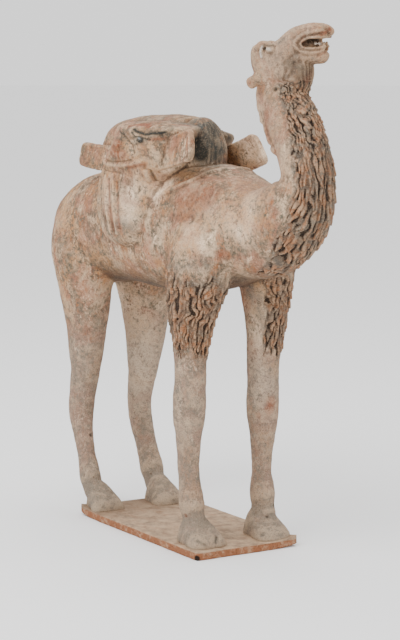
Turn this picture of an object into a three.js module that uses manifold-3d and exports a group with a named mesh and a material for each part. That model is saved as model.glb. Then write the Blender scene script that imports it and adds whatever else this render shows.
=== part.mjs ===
// Painted terracotta camel that carries a pack saddle, standing on a thin clay slab.
// Millimetres. +X is forward, +Y is the camel's left, +Z is up.
// The origin is the centre of the slab's underside.
import * as THREE from 'three';
import { mergeVertices } from 'three/addons/utils/BufferGeometryUtils.js';
import Module from 'manifold-3d';

const wasm = await Module();
wasm.setup();

// Slab under the feet
const SLAB_LENGTH = 338;
const SLAB_WIDTH = 168;
const SLAB_THICK = 11.5;
const CORNER_CUT = 1.5;
const SLAB_CURL = 5;
const CURL_REACH = 46;
const SOLE_GAP = 0.3;

// Barrel of the body from rump to chest: [x, top z, bottom z, half width]
const BARREL = [
  [-302, 428, 374, 40],
  [-282, 460, 344, 64],
  [-248, 488, 334, 78],
  [-200, 508, 342, 84],
  [-130, 518, 352, 82],
  [-50, 530, 349, 81],
  [40, 536, 350, 80],
  [110, 532, 362, 76],
  [160, 519, 376, 68],
  [200, 504, 388, 58],
  [232, 484, 400, 44],
];
const BARREL_POWER = 2.25;

// Neck from the chest up to the skull: [x, y, z, half depth, half width]
const NECK = [
  [150, 0, 432, 50, 52],
  [212, 0, 446, 59, 54],
  [264, 2, 469, 55, 47],
  [294, 4, 500, 45, 38],
  [299, 6, 528, 36, 33],
  [285, 7, 560, 35.5, 33],
  [263, 8, 590, 36, 34],
  [240, 9, 618, 35, 32],
  [227, 9, 643, 33, 28],
  [228, 9, 660, 24, 22],
];
// Raised strip of hair down the nape: ends as shares of the neck, and its bearing round it
const MANE = { from: 0.56, to: 0.93, bearing: 218, radius: 7.5, sink: 4 };

// Legs from the body down to the fetlock: [z, x, side distance from the middle, thickness seen]
const HIND_RIGHT = [
  [462, -206, 30, 84],
  [425, -212, 41, 104],
  [398, -213, 46, 104],
  [367, -209, 49, 94],
  [331, -207, 50, 79],
  [301, -205, 50, 69],
  [271, -205, 50, 59],
  [241, -204.5, 51.5, 53],
  [210, -204, 53, 44],
  [178, -209, 55, 39],
  [160, -212, 56, 38.5],
  [143, -211, 57, 36],
  [117, -201, 58.5, 29],
  [88, -190, 60, 27],
  [66, -181, 61, 31],
  [52, -175, 61, 33],
  [38, -168, 61, 29],
  [24, -160, 60, 30],
];
const HIND_LEFT = [
  [462, -206, 32, 88],
  [425, -212, 43, 112],
  [398, -214, 48, 112],
  [367, -212, 51, 101],
  [331, -208, 52, 84],
  [301, -205, 52, 73],
  [264, -204, 52, 63],
  [233, -207, 51, 53],
  [201, -211, 50, 44],
  [168, -218, 49, 38],
  [152, -218, 48, 37],
  [122, -210, 47, 34],
  [93, -195, 46, 31],
  [72, -183, 45, 33],
  [56, -174, 44.5, 36],
  [40, -165, 44, 31],
  [25, -156, 43, 32],
];
const FORE_RIGHT = [
  [478, 132, 28, 86],
  [430, 124, 42, 98],
  [392, 124, 51, 90],
  [357, 119, 57, 76],
  [325, 114, 58, 62],
  [290, 111, 58, 49],
  [262, 110, 58, 43],
  [238, 110, 58, 42.5],
  [211, 107, 58, 45],
  [187, 105, 58, 43.5],
  [164, 104, 57.5, 36],
  [126, 103, 57, 29.5],
  [100, 104, 56.5, 29],
  [78, 107, 56, 33],
  [62, 110, 56, 36],
  [48, 113, 55, 31],
  [30, 118, 54, 36],
];
const FORE_LEFT = [
  [478, 132, 28, 84],
  [430, 125, 42, 94],
  [392, 126, 52, 84],
  [357, 121, 57, 70],
  [325, 120, 58, 60],
  [290, 118, 58, 50],
  [259, 114, 58, 44],
  [230, 115, 58, 43],
  [202, 115, 58, 45],
  [185, 114.5, 58, 45],
  [158, 114, 58, 37],
  [130, 113, 57.5, 30],
  [101, 113.5, 57, 27.5],
  [82, 115, 56.5, 33],
  [68, 117, 56, 36],
  [52, 120, 55, 31],
  [34, 126, 54, 38],
];
// A leg is deeper fore and aft than it is wide: half sizes as shares of the thickness seen
const LEG_DEPTH = 0.615;
const LEG_WIDTH = 0.45;

// Feet: centre, length, width and height of the instep
const FEET = [
  { x: -142, y: -57, long: 54, wide: 50, tall: 40 },
  { x: -135, y: 43, long: 64, wide: 52, tall: 42 },
  { x: 125, y: -51, long: 74, wide: 56, tall: 44 },
  { x: 132, y: 52, long: 71, wide: 54, tall: 44 },
];
const TOE_SPLIT = 2.4;

// Head: turned to the left about its own centre, nose raised
const HEAD_X = 238;
const HEAD_Y = 9;
const HEAD_TURN = 43;
// Skull and upper jaw along the head: [along, top z, bottom z, half width]
const UPPER_HEAD = [
  [-43, 683, 650, 13],
  [-34, 696, 642, 19.5],
  [-24, 701, 642, 23],
  [-11, 699, 650, 22.5],
  [3, 708, 668, 19],
  [17, 720, 690, 16],
  [33, 724, 699, 14.5],
  [50, 724, 697, 15],
  [66, 720, 703, 12.5],
];
// Cheek and lower jaw along the head: [along, top z, bottom z, half width]
const LOWER_HEAD = [
  [-38, 668, 636, 16],
  [-24, 682, 632, 21.5],
  [-8, 690, 638, 22],
  [7, 692, 650, 19],
  [20, 692, 666, 15.5],
  [34, 691, 671, 13.5],
  [49, 692, 671, 13],
  [61, 690, 678, 11],
];
// Tufted throat between jaw and neck: [along, z, half depth, half width]
const THROAT = [
  [14, 682, 14, 12],
  [22, 664, 18, 17],
  [14, 640, 20, 21],
  [8, 618, 20, 23],
];
const EYE = { along: -21, z: 687, out: 20.5, r: 5 };
const BROW = { from: [-33, 690], top: [-25, 697], to: [-13, 693], out: 18, r: 3.6 };
const EAR = { along: -38, z: 646, out: 15, r: 9, thick: 7 };
const TONGUE = { from: [12, 693], to: [50, 694], tall: 5.5, wide: 10 };
const LIP_R = 2.3;
// Rim of the open mouth seen from the side: [along, z]
const LIP_LINE = [[64, 704], [47, 700], [31, 702], [18, 700], [12, 692], [19, 686], [36, 687], [58, 689]];

// Pack boards, one on each side: the top edge dips, then climbs towards the front
const BOARD_LONG = 304;
const BOARD_TALL = 43;
const BOARD_THICK = 9;
const BOARD_CORNER = 9;
const BOARDS = [
  { side: -1, rear: -175, y: 62, top: 555.5, lean: 0.16, dip: 0.09, climb: 0.2 },
  { side: 1, rear: -209, y: 50, top: 534, lean: 0.3, dip: 0.1, climb: 0.24 },
];

// Mask bag and the pouch that hangs from it: [z, x, side distance, half length, half width].
// The bag on the left hangs further back and a little lower.
const BAG = [
  [591, 8, 44, 74, 36],
  [579, 6, 46, 84, 43],
  [561, -1, 47, 82, 47],
  [543, -6, 48, 80, 49],
  [526, -14, 49, 74, 47],
  [502, -28, 51, 72, 45],
  [465, -34, 54, 70, 44],
  [432, -34, 55, 56, 40],
  [410, -33, 56, 36, 33],
];
const BAG_SHIFT = { '-1': { x: 0, z: 0 }, 1: { x: -58, z: -8 } };
const FOLD_COUNT = 11;
const FOLD_DEPTH = 2.2;
// Load between the bags and the hump in front of it: [x, top z, half width]
const LOAD_TOP = [
  [-152, 562, 42],
  [-125, 586, 50],
  [-90, 593, 54],
  [-30, 598, 55],
  [20, 598, 46],
  [52, 595, 34],
];
const LOAD_Y = -12;
const LOAD_FLOOR = 500;
const FRONT_HUMP = { x: 53, y: -6, z: 545, long: 43, wide: 34, tall: 52 };
const SKEIN = { from: [8, 18, 578], to: [34, 38, 562], r: 10.5 };
const SADDLE_EDGE_R = 4;

// Mask in relief on the bag, repeated on the left side
const MASK = {
  brow: [[-10, 573], [16, 580], [46, 577], [74, 568]],
  lip: [[-80, 541], [-62, 527], [-24, 520], [10, 526], [26, 536]],
  nose: { x: -50, z: 556, r: 9 },
  cheek: { x: -38, z: 540, r: 17 },
  eye: { x: 22, z: 562, r: 7 },
};

// Fringes of hanging locks. Rows run between two shares of the spine, drop is the overhang of a tip,
// and the cover is the half angle from the middle that carries locks
const NECK_FUR = { rows: 13, from: 0.15, to: 0.9, hang: -1, drop: 0.022, lift: 6, middle: 78, cover: 100 };
const ARM_FUR = { rows: 6, from: 0.2, to: 0.36, hang: 1, drop: 0.014, lift: 7.5, middle: 90, cover: 200 };
// A long lock hangs beside a short one, and the fringe fades out over some degrees at its border
const LONG_LOCK = 1.25;
const SHORT_LOCK = 0.1;
const LOCK_FADE = 18;
// The rings of a skin crowd towards its two ends by this share
const END_CROWDING = 0.06;

// Tail laid against the rump: [x, y, z, radius]
const TAIL = [[-268, 2, 456, 8], [-298, -2, 450, 9], [-313, -4, 432, 9], [-317, 2, 404, 8], [-310, 9, 378, 8], [-290, 12, 364, 6]];

const LEFT = new THREE.Vector3(0, 1, 0);
const turnAngle = THREE.MathUtils.degToRad(HEAD_TURN);
const HEAD_FORWARD = new THREE.Vector3(Math.cos(turnAngle), Math.sin(turnAngle), 0);
const HEAD_LEFT = new THREE.Vector3(-Math.sin(turnAngle), Math.cos(turnAngle), 0);

// Repeatable random numbers between 0 and 1
let seed = 20;
function random() {
  seed = (seed * 16807) % 2147483647;
  return seed / 2147483647;
}
const jitter = (size) => (random() - 0.5) * 2 * size;

// Faces are turned outwards by the sign of the enclosed volume
function closedGeometry(points, faces) {
  let volume = 0;
  for (const [a, b, c] of faces) volume += points[a].dot(points[b].clone().cross(points[c]));
  const index = volume < 0 ? faces.map(([a, b, c]) => [a, c, b]) : faces;
  const geometry = new THREE.BufferGeometry();
  geometry.setAttribute('position', new THREE.Float32BufferAttribute(points.flatMap((p) => p.toArray()), 3));
  geometry.setIndex(index.flat());
  return geometry;
}

// A smooth skin of oval sections along a spine.
// Each section is { at, depth, width }; width lies along the wide axis, depth square to it.
class Skin {
  constructor(sections, { wide = LEFT, power = 2, caps = [0.08, 0.08], level = null, crowd = 0, ripple } = {}) {
    this.spine = new THREE.CatmullRomCurve3(sections.map((s) => s.at));
    this.sizes = new THREE.CatmullRomCurve3(sections.map((s) => new THREE.Vector3(s.depth, s.width, 0)));
    Object.assign(this, { wide, power, caps, level, crowd, ripple });
  }

  // The ends are rounded: the section shrinks like the slice of a sphere
  capFactor(t) {
    const near = Math.min(t / this.caps[0], (1 - t) / this.caps[1], 1);
    return Math.sqrt(Math.max(0, 1 - (1 - near) ** 2));
  }

  // A point of the skin, lifted off it by some millimetres; a level skin keeps its sections parallel
  at(t, angle, lift = 0) {
    const tangent = this.level ?? this.spine.getTangent(t);
    const across = this.wide.clone().addScaledVector(tangent, -this.wide.dot(tangent)).normalize();
    const front = across.clone().cross(tangent);
    const size = this.sizes.getPoint(t);
    const bend = (v) => Math.sign(v) * Math.abs(v) ** (2 / this.power);
    const cap = this.capFactor(t);
    const swell = lift + (this.ripple ? this.ripple(t, angle) * cap : 0);
    return this.spine.getPoint(t)
      .addScaledVector(across, (size.y * cap + swell) * bend(Math.cos(angle)))
      .addScaledVector(front, (size.x * cap + swell) * bend(Math.sin(angle)));
  }

  // Rings of a fringe: each row is a ring of lifted tips and a ring tucked in under them
  fringeRings({ rows, from, to, hang, drop, lift, middle, cover }, sides) {
    const rings = [];
    const gap = (to - from) / rows;
    for (let i = 0; i < rows; i += 1) {
      const t = from + gap * i;
      const tips = [];
      for (let j = 0; j < sides; j += 1) {
        const angle = this.angle(j, sides);
        const turn = Math.abs(((THREE.MathUtils.radToDeg(angle) - middle + 540) % 360) - 180);
        const share = 1 - THREE.MathUtils.smoothstep(turn, cover - LOCK_FADE, cover);
        const long = (i + j) % 2 === 0 ? LONG_LOCK : SHORT_LOCK;
        const drops = drop * share * long * (1 + jitter(0.35));
        const flat = hang * -0.3 * gap * (1 - share);
        tips.push({ t: t + hang * drops + flat, lift: lift * share * (0.45 + 0.45 * long) * (1 + jitter(0.3)) });
      }
      const tucked = tips.map(() => ({ t, lift: 0 }));
      rings.push(...(hang < 0 ? [tucked, tips] : [tips, tucked]));
    }
    return rings;
  }

  // Vertices crowd towards the front of a skin that carries more detail there
  angle(j, sides) {
    const even = (2 * Math.PI * j) / sides;
    return even + this.crowd * Math.cos(even);
  }

  solid(rings, sides, fringe = null) {
    const plain = [];
    for (let i = 1; i < rings; i += 1) {
      const even = i / rings;
      const t = even - Math.sin(2 * Math.PI * even) * END_CROWDING;
      const inFringe = fringe && t > fringe.from - 0.02 && t < fringe.to;
      if (!inFringe) plain.push(Array(sides).fill({ t, lift: 0 }));
    }
    const hanging = fringe ? this.fringeRings(fringe, sides) : [];
    const before = fringe ? plain.filter((ring) => ring[0].t < fringe.from) : plain;
    const after = plain.slice(before.length);
    const all = [...before, ...hanging, ...after];
    const points = [this.spine.getPoint(0)];
    for (const ring of all) ring.forEach((v, j) => points.push(this.at(v.t, this.angle(j, sides), v.lift)));
    points.push(this.spine.getPoint(1));
    const last = points.length - 1;
    const vertex = (i, j) => 1 + i * sides + (j % sides);
    const faces = [];
    for (let j = 0; j < sides; j += 1) {
      faces.push([0, vertex(0, j), vertex(0, j + 1)]);
      faces.push([last, vertex(all.length - 1, j + 1), vertex(all.length - 1, j)]);
      for (let i = 0; i < all.length - 1; i += 1) {
        faces.push([vertex(i, j), vertex(i + 1, j), vertex(i + 1, j + 1)]);
        faces.push([vertex(i, j), vertex(i + 1, j + 1), vertex(i, j + 1)]);
      }
    }
    return closedGeometry(points, faces);
  }
}

// An even tube along a few points, with round ends
function cordTube(points, radius, rings, sides, wide = LEFT) {
  const sections = points.map((at) => ({ at, depth: radius, width: radius }));
  return new Skin(sections, { wide, caps: [0.12, 0.12] }).solid(rings, sides);
}

function ball(x, y, z, rx, ry, rz, detail) {
  const geometry = new THREE.SphereGeometry(1, detail + 2, detail);
  geometry.scale(rx, ry, rz);
  geometry.translate(x, y, z);
  return geometry;
}

function toSolid(geometry) {
  const bare = geometry.clone();
  bare.deleteAttribute('normal');
  bare.deleteAttribute('uv');
  const merged = mergeVertices(bare, 1e-4);
  const vertProperties = new Float32Array(merged.attributes.position.array);
  const triVerts = new Uint32Array(merged.index.array);
  return new wasm.Manifold(new wasm.Mesh({ numProp: 3, vertProperties, triVerts }));
}

function fromSolid(solid) {
  const mesh = solid.getMesh();
  const geometry = new THREE.BufferGeometry();
  geometry.setAttribute('position', new THREE.Float32BufferAttribute(mesh.vertProperties, 3));
  geometry.setIndex(Array.from(mesh.triVerts));
  geometry.computeVertexNormals();
  return geometry;
}

function barrelSkin() {
  const sections = BARREL.map(([x, top, bottom, width]) => ({
    at: new THREE.Vector3(x, 0, (top + bottom) / 2),
    depth: (top - bottom) / 2,
    width,
  }));
  return new Skin(sections, { power: BARREL_POWER, caps: [0.04, 0.08] });
}

function neckSkin() {
  const sections = NECK.map(([x, y, z, depth, width]) => ({ at: new THREE.Vector3(x, y, z), depth, width }));
  return new Skin(sections, { power: 2.1, caps: [0.04, 0.04], crowd: 0.42 });
}

function legSkin(table, side) {
  const sections = table.map(([z, x, apart, seen]) => ({
    at: new THREE.Vector3(x, side * apart, z),
    depth: seen * LEG_DEPTH,
    width: seen * LEG_WIDTH,
  }));
  return new Skin(sections, { power: 2.1, caps: [0.05, 0.03] });
}

// A foot: a low wedge that slopes down to two toes
function footSolids({ x, y, long, wide, tall }) {
  const half = long / 2;
  const section = (along, high, width) => ({
    at: new THREE.Vector3(x + along * half, y, SLAB_THICK),
    depth: high,
    width: (wide / 2) * width,
  });
  const wedge = new Skin([
    section(-0.98, tall * 0.5, 0.5),
    section(-0.78, tall * 0.78, 0.74),
    section(-0.45, tall, 0.8),
    section(-0.1, tall * 0.86, 0.86),
    section(0.35, tall * 0.62, 0.98),
    section(0.7, tall * 0.42, 0.96),
    section(0.96, tall * 0.26, 0.7),
  ], { power: 2.2, caps: [0.06, 0.1] }).solid(8, 10);
  const slot = new THREE.BoxGeometry(half * 0.6, TOE_SPLIT, tall * 1.2);
  slot.translate(x + half * 0.86, y, SLAB_THICK);
  return toSolid(wedge).subtract(toSolid(slot));
}

function headPoint(along, out, z) {
  return new THREE.Vector3(HEAD_X, HEAD_Y, z)
    .addScaledVector(HEAD_FORWARD, along)
    .addScaledVector(HEAD_LEFT, out);
}

function headSkin(table, power) {
  const sections = table.map(([along, top, bottom, width]) => ({
    at: headPoint(along, 0, (top + bottom) / 2),
    depth: (top - bottom) / 2,
    width,
  }));
  return new Skin(sections, { wide: HEAD_LEFT, power, caps: [0.1, 0.1] });
}

function throatSkin() {
  const sections = THROAT.map(([along, z, depth, width]) => ({ at: headPoint(along, 0, z), depth, width }));
  return new Skin(sections, { wide: HEAD_LEFT });
}

function tongueSkin() {
  const ends = [TONGUE.from, TONGUE.to].map(([along, z]) => headPoint(along, 0, z));
  const sections = ends.map((at) => ({ at, depth: TONGUE.tall, width: TONGUE.wide }));
  return new Skin(sections, { wide: HEAD_LEFT, caps: [0.1, 0.2] });
}

function headSolids() {
  const solids = [
    headSkin(UPPER_HEAD, 2.3).solid(14, 12),
    headSkin(LOWER_HEAD, 2.3).solid(11, 10),
    throatSkin().solid(6, 10),
    tongueSkin().solid(5, 8),
  ];
  for (const side of [-1, 1]) {
    const eye = headPoint(EYE.along, side * EYE.out, EYE.z);
    solids.push(ball(eye.x, eye.y, eye.z, EYE.r, EYE.r, EYE.r, 4));
    const browLine = [BROW.from, BROW.top, BROW.to].map(([along, z]) => headPoint(along, side * BROW.out, z));
    solids.push(cordTube(browLine, BROW.r, 6, 5, HEAD_LEFT));
    const ear = new Skin([
      { at: headPoint(EAR.along + 8, side * (EAR.out - 6), EAR.z + 8), depth: EAR.r, width: EAR.thick },
      { at: headPoint(EAR.along - 1, side * (EAR.out + 2), EAR.z), depth: EAR.r, width: EAR.thick },
      { at: headPoint(EAR.along - 7, side * (EAR.out + 7), EAR.z - 4), depth: EAR.r * 0.8, width: EAR.thick * 0.8 },
    ], { wide: HEAD_LEFT, caps: [0.2, 0.4] });
    solids.push(ear.solid(6, 7));
    const reach = (along) => side * (17.5 - 4.5 * THREE.MathUtils.smoothstep(along, 8, 50));
    const lip = LIP_LINE.map(([along, z]) => headPoint(along, reach(along), z));
    solids.push(cordTube(lip, LIP_R, 11, 4, HEAD_LEFT));
  }
  return solids;
}

// Rounded board bent along its length; its ends stay square to the bend and its foot leans outwards
function boardSolid({ side, rear, y, top, lean, dip, climb }) {
  const shape = new THREE.Shape();
  const r = BOARD_CORNER;
  const steps = 6;
  shape.moveTo(r, -BOARD_TALL);
  for (let k = 1; k <= steps; k += 1) shape.lineTo(r + ((BOARD_LONG - 2 * r) * k) / steps, -BOARD_TALL);
  shape.absarc(BOARD_LONG - r, -BOARD_TALL + r, r, -Math.PI / 2, 0);
  shape.absarc(BOARD_LONG - r, -r, r, 0, Math.PI / 2);
  for (let k = steps - 1; k >= 0; k -= 1) shape.lineTo(r + ((BOARD_LONG - 2 * r) * k) / steps, 0);
  shape.absarc(r, -r, r, Math.PI / 2, Math.PI);
  shape.absarc(r, -BOARD_TALL + r, r, Math.PI, Math.PI * 1.5);
  const geometry = new THREE.ExtrudeGeometry(shape, { depth: BOARD_THICK, bevelEnabled: false, curveSegments: 2 });
  const position = geometry.attributes.position;
  for (let i = 0; i < position.count; i += 1) {
    const share = position.getX(i) / BOARD_LONG;
    const high = position.getY(i);
    const slope = 2 * climb * share - dip;
    const x = rear + position.getX(i) - high * slope;
    const z = top + BOARD_LONG * share * (climb * share - dip) + high;
    position.setXYZ(i, x, side * (y - lean * high + position.getZ(i)), z);
  }
  if (side > 0) {
    const turned = [...Array(position.count).keys()].map((i) => i + [0, 1, -1][i % 3]);
    geometry.setIndex(turned);
  }
  return geometry;
}

function bagSkin(side) {
  const shift = BAG_SHIFT[side];
  const sections = BAG.map(([z, x, apart, long, wide]) => ({
    at: new THREE.Vector3(x + shift.x, side * apart, z + shift.z),
    depth: long,
    width: wide,
  }));
  // Hanging folds grow down the pouch and fade out at its foot
  const ripple = (t, angle) => {
    const grow = THREE.MathUtils.smoothstep(t, 0.42, 0.6) * (1 - THREE.MathUtils.smoothstep(t, 0.86, 1));
    return FOLD_DEPTH * grow * Math.cos(FOLD_COUNT * angle);
  };
  return new Skin(sections, { power: 2.4, caps: [0.09, 0.1], level: new THREE.Vector3(0, 0, -1), ripple });
}

// Where a straight line across the bag leaves its skin, at a given x and z
function onBag(skin, side, x, z) {
  let best = null;
  for (let i = 1; i < 60; i += 1) {
    for (let j = 0; j < 48; j += 1) {
      const point = skin.at(i / 60, (2 * Math.PI * j) / 48);
      const miss = Math.hypot(point.x - x, point.z - z) - side * point.y * 0.02;
      const outside = side * point.y > side * skin.spine.getPoint(i / 60).y;
      if (outside && (best === null || miss < best.miss)) best = { miss, point };
    }
  }
  return new THREE.Vector3(x, best.point.y, z);
}

function maskSolids(skin, side) {
  const shift = BAG_SHIFT[side];
  const place = (x, z) => onBag(skin, side, x + shift.x, z + shift.z);
  const line = (points) => points.map(([x, z]) => place(x, z));
  const nose = place(MASK.nose.x, MASK.nose.z);
  const cheek = place(MASK.cheek.x, MASK.cheek.z);
  const eye = place(MASK.eye.x, MASK.eye.z);
  return [
    cordTube(line(MASK.brow), 4, 8, 5),
    cordTube(line(MASK.lip), 4.5, 8, 5),
    ball(nose.x, nose.y, nose.z, MASK.nose.r, MASK.nose.r * 0.8, MASK.nose.r * 0.9, 5),
    ball(cheek.x, cheek.y - side * 2, cheek.z, MASK.cheek.r * 1.3, MASK.cheek.r * 0.5, MASK.cheek.r * 0.75, 5),
    ball(eye.x, eye.y, eye.z, MASK.eye.r, MASK.eye.r * 0.5, MASK.eye.r, 4),
  ];
}

function loadSolids() {
  const sections = LOAD_TOP.map(([x, top, width]) => ({
    at: new THREE.Vector3(x, LOAD_Y, (top + LOAD_FLOOR) / 2),
    depth: (top - LOAD_FLOOR) / 2,
    width,
  }));
  const hump = FRONT_HUMP;
  const skein = [SKEIN.from, SKEIN.to].map((p) => new THREE.Vector3(...p));
  skein.splice(1, 0, skein[0].clone().lerp(skein[1], 0.5));
  return [
    new Skin(sections, { power: 2.5, caps: [0.1, 0.1], level: new THREE.Vector3(1, 0, 0) }).solid(10, 12),
    ball(hump.x, hump.y, hump.z, hump.long, hump.wide, hump.tall, 9),
    cordTube(skein, SKEIN.r, 8, 8),
  ];
}

// Raised border of the saddle cloth, from the withers down the flank
function saddleEdge(barrel, side) {
  const steps = [[0.93, 66], [0.86, 52], [0.79, 36], [0.74, 18], [0.715, 2], [0.7, -14]];
  const points = steps.map(([t, degrees]) => {
    const angle = side > 0 ? THREE.MathUtils.degToRad(-degrees) : Math.PI + THREE.MathUtils.degToRad(degrees);
    return barrel.at(t, angle);
  });
  return cordTube(points, SADDLE_EDGE_R, 10, 5);
}

// Hair down the nape, a flat roll laid on the skin of the neck
function maneSolid(neck) {
  const points = [];
  const bearing = THREE.MathUtils.degToRad(MANE.bearing);
  for (let k = 0; k <= 5; k += 1) points.push(neck.at(MANE.from + ((MANE.to - MANE.from) * k) / 5, bearing, -MANE.sink));
  return cordTube(points, MANE.radius, 12, 7);
}

function camelSolid() {
  const barrel = barrelSkin();
  const neck = neckSkin();
  const arms = [legSkin(FORE_RIGHT, -1), legSkin(FORE_LEFT, 1)];
  const hinds = [legSkin(HIND_RIGHT, -1), legSkin(HIND_LEFT, 1)];
  const parts = [
    barrel.solid(17, 20),
    neck.solid(19, 22, NECK_FUR),
    maneSolid(neck),
    ...arms.map((leg) => leg.solid(20, 12, ARM_FUR)),
    ...hinds.map((leg) => leg.solid(15, 10)),
    ...headSolids(),
    ...loadSolids(),
    ...BOARDS.map(boardSolid),
  ];
  for (const side of [-1, 1]) {
    const bag = bagSkin(side);
    parts.push(bag.solid(10, 20), saddleEdge(barrel, side), ...maskSolids(bag, side));
  }
  const tail = TAIL.map(([x, y, z, r]) => ({ at: new THREE.Vector3(x, y, z), depth: r, width: r }));
  parts.push(new Skin(tail).solid(7, 6));
  const solids = parts.map(toSolid);
  solids.push(...FEET.map(footSolids));
  const below = new THREE.BoxGeometry(900, 900, 100);
  below.translate(0, 0, SLAB_THICK / 2 - 50);
  const raisedSlab = slabGeometry();
  raisedSlab.translate(0, 0, SOLE_GAP);
  const cut = wasm.Manifold.union(solids).subtract(toSolid(below)).subtract(toSolid(raisedSlab));
  // Closed voids between the pieces of the load are left out: only the outer skin is kept
  return cut.decompose().reduce((best, shell) => (shell.volume() > best.volume() ? shell : best));
}

// Slab: a plate on a grid whose rear right and front left corners curl up
function slabGeometry() {
  const columns = 8;
  const rows = 4;
  const curl = (x, y) => {
    const corners = [[-SLAB_LENGTH / 2, -SLAB_WIDTH / 2], [SLAB_LENGTH / 2, SLAB_WIDTH / 2]];
    return corners.reduce((sum, [cx, cy]) => {
      const near = Math.max(0, 1 - Math.hypot(x - cx, y - cy) / CURL_REACH);
      return sum + SLAB_CURL * near * near;
    }, 0);
  };
  const points = [];
  for (const level of [0, SLAB_THICK]) {
    for (let i = 0; i <= columns; i += 1) {
      for (let j = 0; j <= rows; j += 1) {
        let x = (i / columns - 0.5) * SLAB_LENGTH;
        let y = (j / rows - 0.5) * SLAB_WIDTH;
        const corner = (i === 0 || i === columns) && (j === 0 || j === rows);
        if (corner) x -= Math.sign(x) * CORNER_CUT;
        if (corner) y -= Math.sign(y) * CORNER_CUT;
        points.push(new THREE.Vector3(x, y, level + curl(x, y)));
      }
    }
  }
  const layer = (columns + 1) * (rows + 1);
  const vertex = (level, i, j) => level * layer + i * (rows + 1) + j;
  const faces = [];
  const quad = (a, b, c, d) => faces.push([a, b, c], [a, c, d]);
  for (let i = 0; i < columns; i += 1) {
    for (let j = 0; j < rows; j += 1) {
      quad(vertex(1, i, j), vertex(1, i + 1, j), vertex(1, i + 1, j + 1), vertex(1, i, j + 1));
      quad(vertex(0, i, j), vertex(0, i, j + 1), vertex(0, i + 1, j + 1), vertex(0, i + 1, j));
    }
  }
  for (let i = 0; i < columns; i += 1) {
    quad(vertex(0, i, 0), vertex(0, i + 1, 0), vertex(1, i + 1, 0), vertex(1, i, 0));
    quad(vertex(0, i + 1, rows), vertex(0, i, rows), vertex(1, i, rows), vertex(1, i + 1, rows));
  }
  for (let j = 0; j < rows; j += 1) {
    quad(vertex(0, 0, j + 1), vertex(0, 0, j), vertex(1, 0, j), vertex(1, 0, j + 1));
    quad(vertex(0, columns, j), vertex(0, columns, j + 1), vertex(1, columns, j + 1), vertex(1, columns, j));
  }
  return closedGeometry(points, faces);
}

const paintedClay = new THREE.MeshStandardMaterial({ color: 0xb39b86, roughness: 0.88, metalness: 0 });
const slabClay = new THREE.MeshStandardMaterial({ color: 0xb08a6c, roughness: 0.92, metalness: 0 });

const figure = new THREE.Group();

const camel = new THREE.Mesh(fromSolid(camelSolid()), paintedClay);
camel.name = 'camel';
figure.add(camel);

const slab = new THREE.Mesh(slabGeometry(), slabClay);
slab.name = 'base_slab';
figure.add(slab);

export default figure;
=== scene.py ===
"""Terracotta camel with a pack saddle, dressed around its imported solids.

The clay surface is worked out from the sizes below: skins of oval sections are fused into one body,
the joints are smoothed as wet clay is, and the fringe, the mask on the bag and the folds are carved in.
Lengths are millimetres in the tables and metres in the finished meshes.
+X is forward, +Y is the camel's left, +Z is up.
"""
import math

import bpy
import numpy as np
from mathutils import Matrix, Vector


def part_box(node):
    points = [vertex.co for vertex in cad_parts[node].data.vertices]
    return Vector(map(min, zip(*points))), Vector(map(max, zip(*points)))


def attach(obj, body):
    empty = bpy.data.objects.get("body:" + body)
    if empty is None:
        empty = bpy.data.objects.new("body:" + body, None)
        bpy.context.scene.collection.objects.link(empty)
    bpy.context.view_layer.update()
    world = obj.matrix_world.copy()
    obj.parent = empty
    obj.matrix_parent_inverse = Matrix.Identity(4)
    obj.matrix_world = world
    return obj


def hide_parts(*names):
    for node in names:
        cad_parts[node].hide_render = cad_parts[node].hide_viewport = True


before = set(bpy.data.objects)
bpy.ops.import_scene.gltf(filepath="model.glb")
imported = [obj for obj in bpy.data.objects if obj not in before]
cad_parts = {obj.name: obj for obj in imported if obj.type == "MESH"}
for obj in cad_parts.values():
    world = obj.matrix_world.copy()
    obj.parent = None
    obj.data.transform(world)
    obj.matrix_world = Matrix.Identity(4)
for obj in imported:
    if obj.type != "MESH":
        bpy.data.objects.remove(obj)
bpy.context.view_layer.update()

bl_info = {
    "name": "Terracotta camel",
    "version": (1, 0, 0),
    "blender": (4, 5, 0),
    "location": "View3D > Sidebar > Camel",
    "description": "Clay figure of a loaded camel on its slab, with its slip, paint and wear",
    "category": "Add Mesh",
}

MM = 0.001
SLAB_TOP = 11.5

# Barrel of the body from rump to chest: x, top z, bottom z, half width
BARREL = [
    (-302, 428, 374, 40), (-282, 460, 344, 64), (-248, 488, 334, 78), (-200, 508, 342, 84),
    (-130, 518, 352, 82), (-50, 530, 349, 81), (40, 536, 350, 80), (110, 532, 362, 76),
    (160, 519, 376, 68), (200, 504, 388, 58), (232, 484, 400, 44),
]
# Neck from the chest up to the skull: x, y, z, half depth, half width
NECK = [
    (150, 0, 432, 50, 52), (212, 0, 446, 59, 54), (264, 2, 469, 55, 47), (294, 4, 500, 45, 38),
    (299, 6, 528, 36, 33), (285, 7, 560, 35.5, 33), (263, 8, 590, 36, 34), (240, 9, 618, 35, 32),
    (227, 9, 643, 33, 28), (228, 9, 660, 24, 22),
]
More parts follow.
